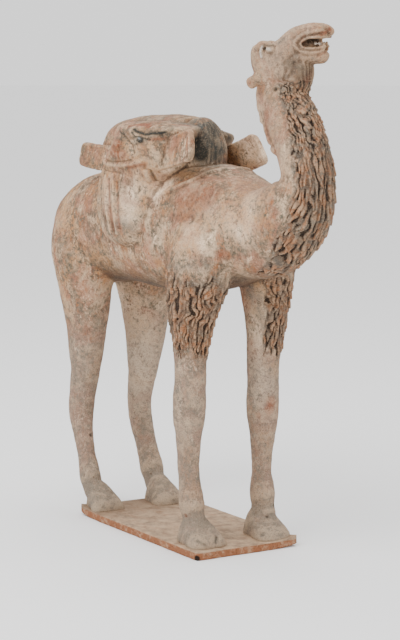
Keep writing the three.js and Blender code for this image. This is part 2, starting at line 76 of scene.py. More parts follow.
# Legs from the body down to the fetlock: z, x, distance from the middle, thickness
HIND_RIGHT = [
    (462, -206, 30, 84), (425, -212, 41, 104), (398, -213, 46, 104), (367, -209, 49, 94),
    (331, -207, 50, 79), (301, -205, 50, 69), (271, -205, 50, 59), (241, -204.5, 51.5, 53),
    (210, -204, 53, 44), (178, -209, 55, 39), (160, -212, 56, 38.5), (143, -211, 57, 36),
    (117, -201, 58.5, 29), (88, -190, 60, 27), (66, -181, 61, 31), (52, -175, 61, 33),
    (38, -168, 61, 29), (24, -160, 60, 30),
]
HIND_LEFT = [
    (462, -206, 32, 88), (425, -212, 43, 112), (398, -214, 48, 112), (367, -212, 51, 101),
    (331, -208, 52, 84), (301, -205, 52, 73), (264, -204, 52, 63), (233, -207, 51, 53),
    (201, -211, 50, 44), (168, -218, 49, 38), (152, -218, 48, 37), (122, -210, 47, 34),
    (93, -195, 46, 31), (72, -183, 45, 33), (56, -174, 44.5, 36), (40, -165, 44, 31),
    (25, -156, 43, 32),
]
FORE_RIGHT = [
    (478, 132, 28, 86), (430, 124, 42, 98), (392, 124, 51, 90), (357, 119, 57, 76),
    (325, 114, 58, 62), (290, 111, 58, 49), (262, 110, 58, 43), (238, 110, 58, 42.5),
    (211, 107, 58, 45), (187, 105, 58, 43.5), (164, 104, 57.5, 36), (126, 103, 57, 29.5),
    (100, 104, 56.5, 29), (78, 107, 56, 33), (62, 110, 56, 36), (48, 113, 55, 31),
    (30, 118, 54, 36),
]
FORE_LEFT = [
    (478, 132, 28, 84), (430, 125, 42, 94), (392, 126, 52, 84), (357, 121, 57, 70),
    (325, 120, 58, 60), (290, 118, 58, 50), (259, 114, 58, 44), (230, 115, 58, 43),
    (202, 115, 58, 45), (185, 114.5, 58, 45), (158, 114, 58, 37), (130, 113, 57.5, 30),
    (101, 113.5, 57, 27.5), (82, 115, 56.5, 33), (68, 117, 56, 36), (52, 120, 55, 31),
    (34, 126, 54, 38),
]
LEG_DEPTH = 0.615
LEG_WIDTH = 0.45
# Feet: centre x, y, length, width, height of the instep
FEET = [(-142, -57, 54, 50, 40), (-135, 43, 64, 52, 42), (125, -51, 74, 56, 44), (132, 52, 71, 54, 44)]
# A foot from heel to toes: share along, share of the height, share of the width
FOOT_FORM = [
    (-0.98, 0.5, 0.5), (-0.78, 0.78, 0.74), (-0.45, 1.0, 0.8), (-0.1, 0.86, 0.86),
    (0.35, 0.62, 0.98), (0.7, 0.42, 0.96), (0.96, 0.26, 0.7),
]

# Head: centre, turn to the left in degrees, then stations along it
HEAD_X, HEAD_Y, HEAD_TURN = 238, 9, math.radians(43)
# Skull and upper jaw: along, top z, bottom z, half width
UPPER_HEAD = [
    (-43, 683, 650, 13), (-34, 696, 642, 19.5), (-24, 701, 642, 23), (-11, 699, 650, 22.5),
    (3, 708, 668, 19), (17, 720, 692, 16), (33, 724, 703, 14.5), (50, 724, 704, 15), (66, 720, 706, 12.5),
]
# Cheek and lower jaw: along, top z, bottom z, half width
LOWER_HEAD = [
    (-38, 668, 636, 16), (-24, 682, 632, 21.5), (-8, 690, 638, 22), (7, 692, 650, 19),
    (20, 692, 666, 15.5), (34, 691, 671, 13.5), (49, 692, 671, 13), (61, 690, 678, 11),
]
# Tufted throat: along, z, half depth, half width
THROAT = [(14, 682, 14, 12), (22, 664, 18, 17), (14, 640, 20, 21), (8, 618, 20, 23)]
# Lips round the open mouth: along, reach to the side, z
OUTER_LIP = [
    (64, 11, 713), (50, 14, 714.5), (37, 14.6, 712.5), (26, 15.6, 708.5), (18.5, 16.6, 700.7),
    (18.5, 16, 694.5), (26, 14.4, 688.5), (38, 13.2, 686.5), (50, 12.6, 688), (58, 10, 691),
]
INNER_LIP = [
    (62, 10, 706.5), (44, 13.6, 706.5), (32.5, 14.2, 705), (26, 15, 701), (24.5, 15, 697),
    (29, 14, 692.5), (40, 12.6, 691.5), (52, 11.4, 693), (60, 8, 695),
]
BROW = [(-34, 18, 690), (-27, 19.5, 697), (-18, 19, 697), (-9, 17, 693)]
LID = [(-26, 22, 692), (-25, 23, 687), (-24, 22.5, 681)]
EYE = [(-20, 19.5, 690.5), (-15, 19.5, 691), (-10, 18, 691)]
EAR = [(-30, 9, 654), (-38, 17, 648), (-42, 22, 646)]
TONGUE = [(10, 0, 692), (30, 0, 692), (48, 0, 693)]
THROAT_WALL = [(14, 0, 700), (30, 0, 699), (52, 0, 700)]
TEETH_ALONG, TOOTH_OUT, TOOTH_Z = (43, 49, 55), 8, 698

# Pack boards: side, rear end x, distance from the middle, top z, lean, dip and climb of the top edge
BOARD_LONG, BOARD_TALL, BOARD_THICK, BOARD_CORNER, BOARD_TAPER = 304, 43, 9, 9, 0.18
BOARDS = [(-1, -175, 62, 555.5, 0.16, 0.09, 0.19), (1, -209, 50, 534, 0.3, 0.1, 0.24)]

# Mask bag and its pouch: z, x, distance from the middle, half length, half width
BAG = [
    (591, 8, 44, 74, 36), (579, 6, 46, 84, 43), (561, -1, 47, 82, 47), (543, -8, 48, 84, 49),
    (526, -22, 49, 84, 47), (502, -38, 51, 82, 45), (465, -43, 54, 79, 44), (432, -42, 55, 64, 40),
    (409, -38, 56, 41, 33),
]
# Shift of each bag along x and z
BAG_SHIFT = {-1: (0, 0), 1: (-68, -14)}
# Load between the bags: x, top z, half width
LOAD_TOP = [(-152, 562, 42), (-125, 586, 50), (-90, 593, 54), (-30, 598, 55), (20, 598, 46), (52, 595, 34)]
LOAD_Y, LOAD_FLOOR = -12, 500
HUMP = (53, -6, 545, 43, 34, 52)
SKEIN = [(26, 24, 578), (38, 29, 571), (50, 34, 562)]
SKEIN_R = 9.5
# Saddle cloth border on the barrel: share along, degrees up from the side
SADDLE_EDGE = [(0.73, 88), (0.72, 70), (0.695, 48), (0.66, 36.4), (0.633, 30.3), (0.62, 24)]
TAIL = [(-268, 2, 456, 8), (-298, -2, 450, 9), (-313, -4, 432, 9), (-317, 2, 404, 8), (-310, 9, 378, 8), (-290, 12, 364, 6)]


def smoothstep(x, low, high):
    """0 below low, 1 above high, and an even S between them."""
    share = np.clip((x - low) / (high - low), 0, 1)
    return share * share * (3 - 2 * share)


def hash2(x, y, seed=0.0):
    """A repeatable number from 0 to 1 for each pair of whole numbers."""
    return np.modf(np.abs(np.sin(x * 127.1 + y * 311.7 + seed * 74.7) * 43758.5453))[0]


def noise2(x, y, seed=0.0):
    """Value noise from 0 to 1: the hash at the four whole corners, blended by a smooth S each way."""
    ix, iy = np.floor(x), np.floor(y)
    fx, fy = x - ix, y - iy
    fx, fy = fx * fx * (3 - 2 * fx), fy * fy * (3 - 2 * fy)
    low = hash2(ix, iy, seed) * (1 - fx) + hash2(ix + 1, iy, seed) * fx
    high = hash2(ix, iy + 1, seed) * (1 - fx) + hash2(ix + 1, iy + 1, seed) * fx
    return low * (1 - fy) + high * fy


def noise3(points, scale, seed=0.0):
    """Value noise from -1 to 1 in space: two planes of noise2, blended along z."""
    x, y, z = (points / scale).T
    iz = np.floor(z)
    fz = z - iz
    fz = fz * fz * (3 - 2 * fz)
    low = noise2(x + iz * 17.3, y + iz * 5.9, seed)
    high = noise2(x + (iz + 1) * 17.3, y + (iz + 1) * 5.9, seed)
    return (low * (1 - fz) + high * fz) * 2 - 1


def curve(points, t):
    """Centripetal Catmull-Rom curve through points, at the shares t.

    Between two points it is the cubic whose end slopes come from the neighbours,
    weighted by the fourth root of the squared gaps. Past the ends the line is mirrored.
    """
    points = np.asarray(points, float)
    last = len(points) - 1
    t = np.clip(np.asarray(t, float), 0, 1)
    whole = np.minimum(np.floor(last * t).astype(int), last - 1)
    share = (last * t - whole)[..., None]
    before = 2 * points[0] - points[1]
    after = 2 * points[last] - points[last - 1]
    full = np.vstack([before, points, after])
    p0, p1, p2, p3 = (full[whole + k] for k in range(4))
    gap = [np.sum((b - a) ** 2, axis=-1, keepdims=True) ** 0.25 for a, b in ((p0, p1), (p1, p2), (p2, p3))]
    gap[1] = np.where(gap[1] < 1e-4, 1.0, gap[1])
    gap[0] = np.where(gap[0] < 1e-4, gap[1], gap[0])
    gap[2] = np.where(gap[2] < 1e-4, gap[1], gap[2])
    slope1 = ((p1 - p0) / gap[0] - (p2 - p0) / (gap[0] + gap[1]) + (p2 - p1) / gap[1]) * gap[1]
    slope2 = ((p2 - p1) / gap[1] - (p3 - p1) / (gap[1] + gap[2]) + (p3 - p2) / gap[2]) * gap[1]
    square = -3 * p1 + 3 * p2 - 2 * slope1 - slope2
    cube = 2 * p1 - 2 * p2 + slope1 + slope2
    return p1 + share * (slope1 + share * (square + share * cube))


def unit(vectors):
    """Vectors of length 1."""
    return vectors / np.maximum(np.linalg.norm(vectors, axis=-1, keepdims=True), 1e-9)


class Skin:
    """Oval sections along a spine.

    A point is spine(t) + across * width * c + front * depth * s, where c and s are the cosine and sine
    of the angle, raised to 2 / power with their signs kept. The ends close like a ball.
    """

    def __init__(self, centres, depths, widths, wide=(0, 1, 0), power=2.0, caps=(0.08, 0.08), level=None):
        self.centres = np.asarray(centres, float)
        self.sizes = np.column_stack([depths, widths, np.zeros(len(depths))])
        self.wide = np.asarray(wide, float)
        self.power, self.caps, self.level = power, caps, level

    def frames(self, t):
        """Spine point, tangent, wide axis and front axis at each share t."""
        if self.level is None:
            tangent = unit(curve(self.centres, t + 1e-3) - curve(self.centres, t - 1e-3))
        else:
            tangent = np.broadcast_to(np.asarray(self.level, float), (*np.shape(t), 3))
        across = unit(self.wide - tangent * (tangent @ self.wide)[..., None])
        return curve(self.centres, t), tangent, across, np.cross(across, tangent)

    def cap(self, t):
        near = np.minimum(np.minimum(t / self.caps[0], (1 - t) / self.caps[1]), 1)
        return np.sqrt(np.maximum(0, 1 - (1 - near) ** 2))

    def at(self, t, angle, lift=0.0):
        t, angle = np.broadcast_arrays(np.asarray(t, float), np.asarray(angle, float))
        centre, _, across, front = self.frames(t)
        depth, width = np.moveaxis(curve(self.sizes, t), -1, 0)[:2]
        cap = self.cap(t)
        c, s = np.cos(angle), np.sin(angle)
        c = np.sign(c) * np.abs(c) ** (2 / self.power)
        s = np.sign(s) * np.abs(s) ** (2 / self.power)
        return centre + across * ((width * cap + lift) * c)[..., None] + front * ((depth * cap + lift) * s)[..., None]

    def shell(self, rings, sides, relief=None):
        """The closed mesh of the skin: rings crowd towards the ends, and relief(t, angle) swells it."""
        even = np.arange(1, rings) / rings
        t = (even - np.sin(2 * np.pi * even) * 0.1)[:, None]
        angle = (2 * np.pi * np.arange(sides) / sides)[None, :]
        lift = relief(t, angle) * self.cap(t) if relief else 0.0
        ends = curve(self.centres, np.array([0.0, 1.0]))
        return grid_shell(self.at(t, angle, lift), ends[0], ends[1])


def grid_shell(grid, first, last):
    """Faces of a grid that closes round its second way, with a fan to a point at each end."""
    rings, sides = grid.shape[:2]
    points = np.vstack([grid.reshape(-1, 3), first, last])
    i, j = np.meshgrid(np.arange(rings - 1), np.arange(sides), indexing="ij")
    right = (j + 1) % sides
    a, b, c, d = i * sides + j, (i + 1) * sides + j, (i + 1) * sides + right, i * sides + right
    quads = np.concatenate([np.stack([a, b, c], -1).reshape(-1, 3), np.stack([a, c, d], -1).reshape(-1, 3)])
    j = np.arange(sides)
    start = np.stack([np.full(sides, rings * sides), j, (j + 1) % sides], -1)
    top = (rings - 1) * sides
    end = np.stack([np.full(sides, rings * sides + 1), top + (j + 1) % sides, top + j], -1)
    return outward(points, np.concatenate([quads, start, end]))


def outward(points, faces):
    """The same shell with its faces turned outwards, by the sign of the enclosed volume."""
    a, b, c = (points[faces[:, k]] for k in range(3))
    if np.einsum("ij,ij->i", a, np.cross(b, c)).sum() < 0:
        faces = faces[:, ::-1]
    return points, faces


def ball(centre, radii, sides=32):
    """An egg: the angles of a globe, scaled by three radii."""
    up = np.linspace(0, np.pi, sides // 2 + 1)[1:-1, None]
    turn = (2 * np.pi * np.arange(sides) / sides)[None, :]
    globe = np.stack([np.sin(up) * np.cos(turn), np.sin(up) * np.sin(turn), np.cos(up) * np.ones_like(turn)], -1)
    centre, radii = np.asarray(centre, float), np.asarray(radii, float)
    pole = np.array([0, 0, 1.0])
    return grid_shell(centre + globe * radii, centre + pole * radii, centre - pole * radii)


def cord(points, radius, wide=(0, 1, 0), rings=40, sides=16, relief=None, caps=(0.12, 0.12)):
    """A tube of the given radius, or radii, along a curve through points."""
    radii = np.broadcast_to(radius, (len(points),))
    return Skin(points, radii, radii, wide=wide, caps=caps).shell(rings, sides, relief)


def head_point(along, out, z):
    """A point of the head, from its own forward and left directions."""
    along, out, z = np.broadcast_arrays(*(np.asarray(v, float) for v in (along, out, z)))
    x = HEAD_X + along * math.cos(HEAD_TURN) - out * math.sin(HEAD_TURN)
    y = HEAD_Y + along * math.sin(HEAD_TURN) + out * math.cos(HEAD_TURN)
    return np.stack([x, y, z], -1)


HEAD_LEFT = (-math.sin(HEAD_TURN), math.cos(HEAD_TURN), 0)


def head_cord(line, side, radius, rings=40):
    """A roll of clay along a line of the head, given for its left side."""
    along, out, z = np.array(line, float).T
    return cord(head_point(along, side * out, z), radius, wide=HEAD_LEFT, rings=rings)


def barrel_skin():
    x, top, bottom, width = np.array(BARREL, float).T
    return Skin(np.column_stack([x, 0 * x, (top + bottom) / 2]), (top - bottom) / 2, width,
                power=2.25, caps=(0.04, 0.08))


def neck_skin():
    x, y, z, depth, width = np.array(NECK, float).T
    return Skin(np.column_stack([x, y, z]), depth, width, power=2.1, caps=(0.04, 0.04))


def leg_skin(table, side):
    z, x, apart, seen = np.array(table, float).T
    return Skin(np.column_stack([x, side * apart, z]), seen * LEG_DEPTH, seen * LEG_WIDTH,
                power=2.1, caps=(0.05, 0.03))


def foot_shell(x, y, long, wide, tall):
    """A wedge that slopes down to the toes, flat where it meets the slab."""
    along, high, width = np.array(FOOT_FORM).T
    centres = np.column_stack([x + along * long / 2, 0 * along + y, 0 * along + SLAB_TOP])
    skin = Skin(centres, tall * high, wide / 2 * width, power=2.2, caps=(0.06, 0.1))
    points, faces = skin.shell(40, 48)
    points[:, 2] = np.maximum(points[:, 2], SLAB_TOP - 0.8)
    return points, faces


def head_skin(table, power=2.3):
    along, top, bottom, width = np.array(table, float).T
    return Skin(head_point(along, 0, (top + bottom) / 2), (top - bottom) / 2, width,
                wide=HEAD_LEFT, power=power, caps=(0.1, 0.1))


def head_shells():
    """Skull, jaws, tongue, teeth, lips, eyes, brows, ears and throat."""
    along, z, depth, width = np.array(THROAT, float).T
    throat = Skin(head_point(along, 0, z), depth, width, wide=HEAD_LEFT)
    shells = [head_skin(UPPER_HEAD).shell(90, 64), head_skin(LOWER_HEAD).shell(80, 56), throat.shell(60, 48)]
    shells += [head_cord(TONGUE, 1, (7, 6, 4)), head_cord(THROAT_WALL, 1, (6.5, 5.5, 5))]
    for side in (-1, 1):
        shells += [head_cord(BROW, side, (3, 4.2, 3.8, 2.6)), head_cord(LID, side, 2.1)]
        shells += [head_cord(EYE, side, (3.6, 4.2, 3)), head_cord(EAR, side, (9, 8.5, 7))]
        shells += [head_cord(OUTER_LIP, side, 2.6, 100), head_cord(INNER_LIP, side, 2.3, 100)]
        for along in TEETH_ALONG:
            shells.append(ball(head_point(along, side * TOOTH_OUT, TOOTH_Z), (2.5, 2.5, 3.4), sides=16))
    return shells


def board_shell(side, rear, y, top, lean, dip, climb):
    """A bent board: a rounded rectangle carried along a top edge that dips and climbs.

    The height of the section shrinks to round the corners, and a low rim runs round the outer face.
    """
    run = np.linspace(0, 1, 90)
    run = (run - np.sin(2 * np.pi * run) * 0.12)[:, None]
    along = run * BOARD_LONG
    near = np.minimum(np.minimum(along, BOARD_LONG - along), BOARD_CORNER)
    tall = BOARD_TALL * (1 - BOARD_TAPER * (1 - run))
    half = tall / 2 - BOARD_CORNER + np.sqrt(BOARD_CORNER ** 2 - (BOARD_CORNER - near) ** 2)
    turn = (2 * np.pi * np.arange(56) / 56)[None, :]
    c, s = np.cos(turn), np.sin(turn)
    high = np.sign(s) * np.abs(s) ** 0.3 * half - tall / 2
    thick = np.sign(c) * np.abs(c) ** 0.45 * BOARD_THICK / 2 * np.ones_like(along)
    edge = np.minimum(np.minimum(along, BOARD_LONG - along), half - np.abs(high + tall / 2))
    thick = thick + np.where(c > 0, 1.1, 0.0) * (1 - smoothstep(edge, 2.6, 4.4)) * smoothstep(edge, 0, 1.2)
    slope = 2 * climb * run - dip
    x = rear + along - high * slope
    z = top + along * (climb * run - dip) + high
    out = side * (y - lean * high + thick + BOARD_THICK / 2)
    grid = np.stack(np.broadcast_arrays(x, out, z), -1)
    return grid_shell(grid, grid[0].mean(0), grid[-1].mean(0))


def bag_skin(side):
    z, x, apart, long, wide = np.array(BAG, float).T
    shift = BAG_SHIFT[side]
    return Skin(np.column_stack([x + shift[0], side * apart, z + shift[1]]), long, wide,
                power=2.4, caps=(0.09, 0.1), level=(0, 0, -1))


def load_shells():
    """The load, the haired hump in front of it, and the skein beside it."""
    x, top, width = np.array(LOAD_TOP, float).T
    load = Skin(np.column_stack([x, 0 * x + LOAD_Y, (top + LOAD_FLOOR) / 2]), (top - LOAD_FLOOR) / 2, width,
                power=2.5, caps=(0.1, 0.1), level=(1, 0, 0))
    twist = lambda t, angle: 1.2 * np.cos(4 * angle + 38 * t)
    return [load.shell(80, 80), ball(HUMP[:3], HUMP[3:], sides=72), cord(SKEIN, SKEIN_R, relief=twist, rings=60, sides=48)]


def saddle_edge(barrel, side):
    """Raised border of the saddle cloth, laid on the barrel."""
    t, degrees = np.array(SADDLE_EDGE).T
    angle = np.radians(-degrees) if side > 0 else np.pi + np.radians(degrees)
    return cord(barrel.at(t, angle), 3.2, rings=90)


def mane_shell(neck):
    """Jagged roll of hair down the nape."""
    share = np.linspace(0, 1, 6)
    points = neck.at(0.56 + 0.37 * share, np.full(6, math.radians(218)), -4)
    rough = lambda t, angle: 1.7 * (noise2(t * 34, angle * 1.4, 3) - 0.5) * 2
    return cord(points, 7.5, rings=90, sides=24, relief=rough)


def camel_shells():
    """Every closed shell that is fused into the figure."""
    barrel, neck = barrel_skin(), neck_skin()
    shells = [barrel.shell(120, 96), neck.shell(140, 96), mane_shell(neck)]
    shells += [leg_skin(table, side).shell(150, 56)
               for table, side in ((FORE_RIGHT, -1), (FORE_LEFT, 1), (HIND_RIGHT, -1), (HIND_LEFT, 1))]
    shells += [foot_shell(*foot) for foot in FEET]
    shells += head_shells() + load_shells()
    shells += [board_shell(*board) for board in BOARDS]
    for side in (-1, 1):
        shells += [bag_skin(side).shell(110, 150), saddle_edge(barrel, side)]
    x, y, z, r = np.array(TAIL, float).T
    shells.append(cord(np.column_stack([x, y, z]), r, rings=60, sides=24))
    return shells


def join(shells):
    """Shells as one set of points and faces."""
    starts = np.cumsum([0] + [len(points) for points, _ in shells[:-1]])
    points = np.vstack([points for points, _ in shells])
    return points, np.vstack([faces + start for (_, faces), start in zip(shells, starts)])


def new_mesh(name, points, faces):
    """A mesh from arrays in millimetres."""
    mesh = bpy.data.meshes.new(name)
    mesh.vertices.add(len(points))
    mesh.vertices.foreach_set("co", (points * MM).astype(np.float32).ravel())
    mesh.loops.add(faces.size)
    mesh.loops.foreach_set("vertex_index", faces.astype(np.int32).ravel())
    mesh.polygons.add(len(faces))
    mesh.polygons.foreach_set("loop_start", np.arange(0, faces.size, faces.shape[1], dtype=np.int32))
    mesh.update(calc_edges=True)
    mesh.validate()
    return mesh


def new_object(name, mesh):
    piece = bpy.data.objects.new(name, mesh)
    bpy.context.scene.collection.objects.link(piece)
    return piece


def positions(mesh):
    """Vertex places in millimetres."""
    flat = np.empty(len(mesh.vertices) * 3, np.float32)
    mesh.vertices.foreach_get("co", flat)
    return flat.reshape(-1, 3).astype(float) / MM


def normals(mesh):
    flat = np.empty(len(mesh.vertices) * 3, np.float32)
    mesh.vertex_normals.foreach_get("vector", flat)
    return flat.reshape(-1, 3).astype(float)


def edge_pairs(mesh):
    flat = np.empty(len(mesh.edges) * 2, np.int32)
    mesh.edges.foreach_get("vertices", flat)
    return flat.reshape(-1, 2)


def place(mesh, points):
    mesh.vertices.foreach_set("co", (points * MM).astype(np.float32).ravel())
    mesh.update()


def finished(piece):
    """Applies the piece's modifiers to its mesh."""
    graph = bpy.context.evaluated_depsgraph_get()
    mesh = bpy.data.meshes.new_from_object(piece.evaluated_get(graph))
    old = piece.data
    piece.modifiers.clear()
    piece.data = mesh
    bpy.data.meshes.remove(old)
    return mesh


def neighbour_mean(values, edges, counts):
    """The mean of each vertex's neighbours."""
    result = np.empty_like(values)
    for k in range(values.shape[1]):
        total = np.bincount(edges[:, 0], values[edges[:, 1], k], len(values))
        total += np.bincount(edges[:, 1], values[edges[:, 0], k], len(values))
        result[:, k] = total / counts
    return result


def relax(points, edges, weight, steps):
    """Moves each point towards its neighbours' mean by its weight, some steps, as a wet sponge does."""
    counts = np.maximum(np.bincount(edges.ravel(), minlength=len(points)), 1)
    for _ in range(steps):
        points = points + (neighbour_mean(points, edges, counts) - points) * weight[:, None]
    return points


def joint_weight(points):
    """How freely the clay is smoothed: fully at shoulders, thighs and the foot of the neck."""
    x, y, z = points.T
    shoulder = smoothstep(x, 40, 70) * smoothstep(z, 350, 385) * (1 - smoothstep(z, 470, 500))
    thigh = (1 - smoothstep(x, -150, -110)) * smoothstep(z, 320, 350) * (1 - smoothstep(z, 455, 490))
    neck_foot = smoothstep(x, 170, 200) * (1 - smoothstep(z, 520, 550))
    feet = 0.6 * (1 - smoothstep(z, 62, 80)) * smoothstep(z, 14, 22)
    along = (x - HEAD_X) * math.cos(HEAD_TURN) + (y - HEAD_Y) * math.sin(HEAD_TURN)
    nape = smoothstep(z, 608, 622) * (1 - smoothstep(z, 656, 672)) * (1 - smoothstep(along, -4, 10))
    for side in (-1, 1):
        a, out, up = EAR[2]
        nape = nape * smoothstep(np.linalg.norm(points - head_point(a, side * out, up), axis=1), 9, 15)
    return np.maximum.reduce([shoulder, thigh, neck_foot, feet, nape])


def near_spine(skin, points, stations=260):
    """For each point: its nearest share of the spine, angle round it, distance in radii and place along it."""
    t = np.linspace(0, 1, stations)
    centre, _, across, front = skin.frames(t)
    sizes = curve(skin.sizes, t)
    best = np.empty(len(points), int)
    for start in range(0, len(points), 20000):
        block = points[start:start + 20000]
        apart = (block ** 2).sum(1)[:, None] - 2 * block @ centre.T + (centre ** 2).sum(1)[None, :]
        best[start:start + 20000] = apart.argmin(1)
    away = points - centre[best]
    c = np.einsum("ij,ij->i", away, across[best]) / sizes[best, 1]
    s = np.einsum("ij,ij->i", away, front[best]) / sizes[best, 0]
    steps = np.linalg.norm(np.diff(centre, axis=0), axis=1)
    length = np.concatenate([[0], np.cumsum(steps)])
    return t[best], np.arctan2(s, c), np.hypot(c, s), length[best]


LOCK_OVERLAP = 1.35


def locks(down, round_, long, wide, seed):
    """Height of carved locks, from 0 in a slit to about 1 at a tip.

    The surface is laid out in columns as wide as a lock, bent by noise. Down each column one lock follows
    another at the step long, each a little aside and aslant. A lock is round across, it narrows and rises
    towards its tip, and it lies over the start of the next. The highest lock counts at each place.
    Here and there the slits are filled, so that they stay short.
    """
    bend = 1.3 * noise2(round_ / (3.2 * wide), down / (2 * long), seed)
    bend = bend + 1.1 * noise2(round_ / (1.4 * wide), down / (0.7 * long), seed + 1)
    phase = round_ / wide + bend
    height = np.zeros_like(phase)
    for near in (-1, 0, 1):
        column = np.floor(phase) + near
        place = down / long + hash2(column, 0 * column, seed + 2)
        for before in (0, 1):
            lock = np.floor(place) - before
            step = (place - lock) / LOCK_OVERLAP
            broad = 0.8 + 0.4 * hash2(column, lock, seed + 8)
            slant = 1.3 * (hash2(column, lock, seed + 4) - 0.5) * (step - 0.5)
            aside = 0.9 * (hash2(column, lock, seed + 3) - 0.5) + slant
            half = 0.6 * broad * (1 - 0.6 * smoothstep(step, 0.3, 1.0))
            across = np.minimum(np.abs(phase - column - 0.5 - aside) / half, 1)
            rise = (0.45 + 0.55 * step) * (0.55 + 0.45 * hash2(column, lock, seed + 5))
            height = np.maximum(height, rise * (1 - across ** 3) * (1 - smoothstep(step, 0.8, 1.0)))
    filled = 0.42 * smoothstep(noise2(round_ / (0.9 * wide), down / (0.8 * long), seed + 9), 0.5, 0.8)
    return np.maximum(height, np.maximum(filled, 0.25 * noise2(round_ / 4, down / 6, seed + 6)))


class Coat:
    """A fringe carved into a skin, from one share of its spine to another.

    The borders are tables of share, lowest degrees and highest degrees round the spine.
    A parting is a wedge without strands: its middle in degrees, the share where it opens, and its spread.
    """

    def __init__(self, skin, ends, borders, height, hang, patterns, seed, parting=None):
        self.skin, self.ends, self.height, self.hang = skin, ends, height, hang
        self.radius = curve(skin.sizes, np.linspace(*ends, 20))[:, :2].mean()
        self.loose = (1.35, 1.6) if hang < 0 else (1.12, 1.3)
        self.borders, self.patterns, self.seed, self.parting = np.array(borders, float), patterns, seed, parting
        reach = skin.sizes.max() + 25
        self.low, self.high = skin.centres.min(0) - reach, skin.centres.max(0) + reach

    def carve(self, points):
        """Share of fringe, height of its strands, nearness to its border and how deep it is, at each point."""
        share, high, rim, deep = (np.zeros(len(points)) for _ in range(4))
        inside = np.where(((points > self.low) & (points < self.high)).all(1))[0]
        if not len(inside):
            return share, high, rim, deep
        t, angle, ratio, along = near_spine(self.skin, points[inside])
        shares, first, last = self.borders.T
        first, last = np.interp(t, shares, first), np.interp(t, shares, last)
        turn = (np.degrees(angle) - (first + last) / 2 + 540) % 360 - 180
        ragged = noise2(along / 7, angle * 6, self.seed + 5) - 0.5
        cover = smoothstep((last - first) / 2 - np.abs(turn) + 16 * ragged, 0, 12)
        fray = 0.05 * (noise2(angle * 8, along / 60, self.seed + 6) - 0.5)
        ends = smoothstep(t + fray, self.ends[0], self.ends[0] + 0.03)
        ends = ends * (1 - smoothstep(t + fray, self.ends[1] - 0.012, self.ends[1]))
        if self.parting:
            middle, opens, spread = self.parting
            away = np.abs((np.degrees(angle) - middle + 540) % 360 - 180)
            cover = cover * smoothstep(away - spread * (t - opens) / (self.ends[1] - opens), -7, 0)
        cover = cover * ends * smoothstep(ratio, 0.55, 0.75) * (1 - smoothstep(ratio, *self.loose))
        start = self.borders[:, 1:].mean()
        turned = np.radians((np.degrees(angle) - start + 540) % 360 - 180)
        down, round_ = along * self.hang, turned * self.radius
        deep[inside] = self.height * (1 - 0.45 * smoothstep(t, 0.66, 0.84) if self.hang < 0 else 1)
        high[inside] = sum(smoothstep(t, *change) * locks(down, round_, long, wide, self.seed + 7 * k) *
                           (1 - (smoothstep(t, *self.patterns[k + 1][2]) if k + 1 < len(self.patterns) else 0))
                           for k, (long, wide, change) in enumerate(self.patterns))
        share[inside] = cover
        rim[inside] = cover * (1 - cover) * 4
        return share, high, rim, deep


def coats():
    """The neck's beard and the tufts of the two forearms."""
    whole = (-2, -1)
    neck = Coat(neck_skin(), (0.1, 0.85),
                [(0.1, 62, 124), (0.17, 40, 133), (0.21, 25, 142), (0.26, 18, 147), (0.3, 16, 151), (0.38, 14, 164),
                 (0.54, 14, 162), (0.65, 18, 146), (0.73, 22, 138), (0.85, 35, 136)],
                6.5, -1, [(11.5, 6.4, whole), (9.5, 5.8, (0.42, 0.6)), (7, 5.4, (0.64, 0.78))], 4)
    near = Coat(leg_skin(FORE_RIGHT, -1), (0.13, 0.35), [(0, 20, 380)], 7.0, 1, [(13.5, 6.6, whole)], 21, (229, 0.285, 24))
    far = Coat(leg_skin(FORE_LEFT, 1), (0.12, 0.345), [(0, 222, 398)], 7.0, 1, [(13.5, 6.6, whole)], 33)
    return [neck, near, far]


def line_distance(points, line):
    """Distance from each point to a broken line, in a plane or in space."""
    line = np.asarray(line, float)
    if len(line) == 1:
        line = np.repeat(line, 2, 0)
    best = np.full(len(points), 1e9)
    for start, end in zip(line[:-1], line[1:]):
        span = end - start
        share = np.clip((points - start) @ span / max(span @ span, 1e-9), 0, 1)
        best = np.minimum(best, np.linalg.norm(points - start - share[:, None] * span, axis=1))
    return best


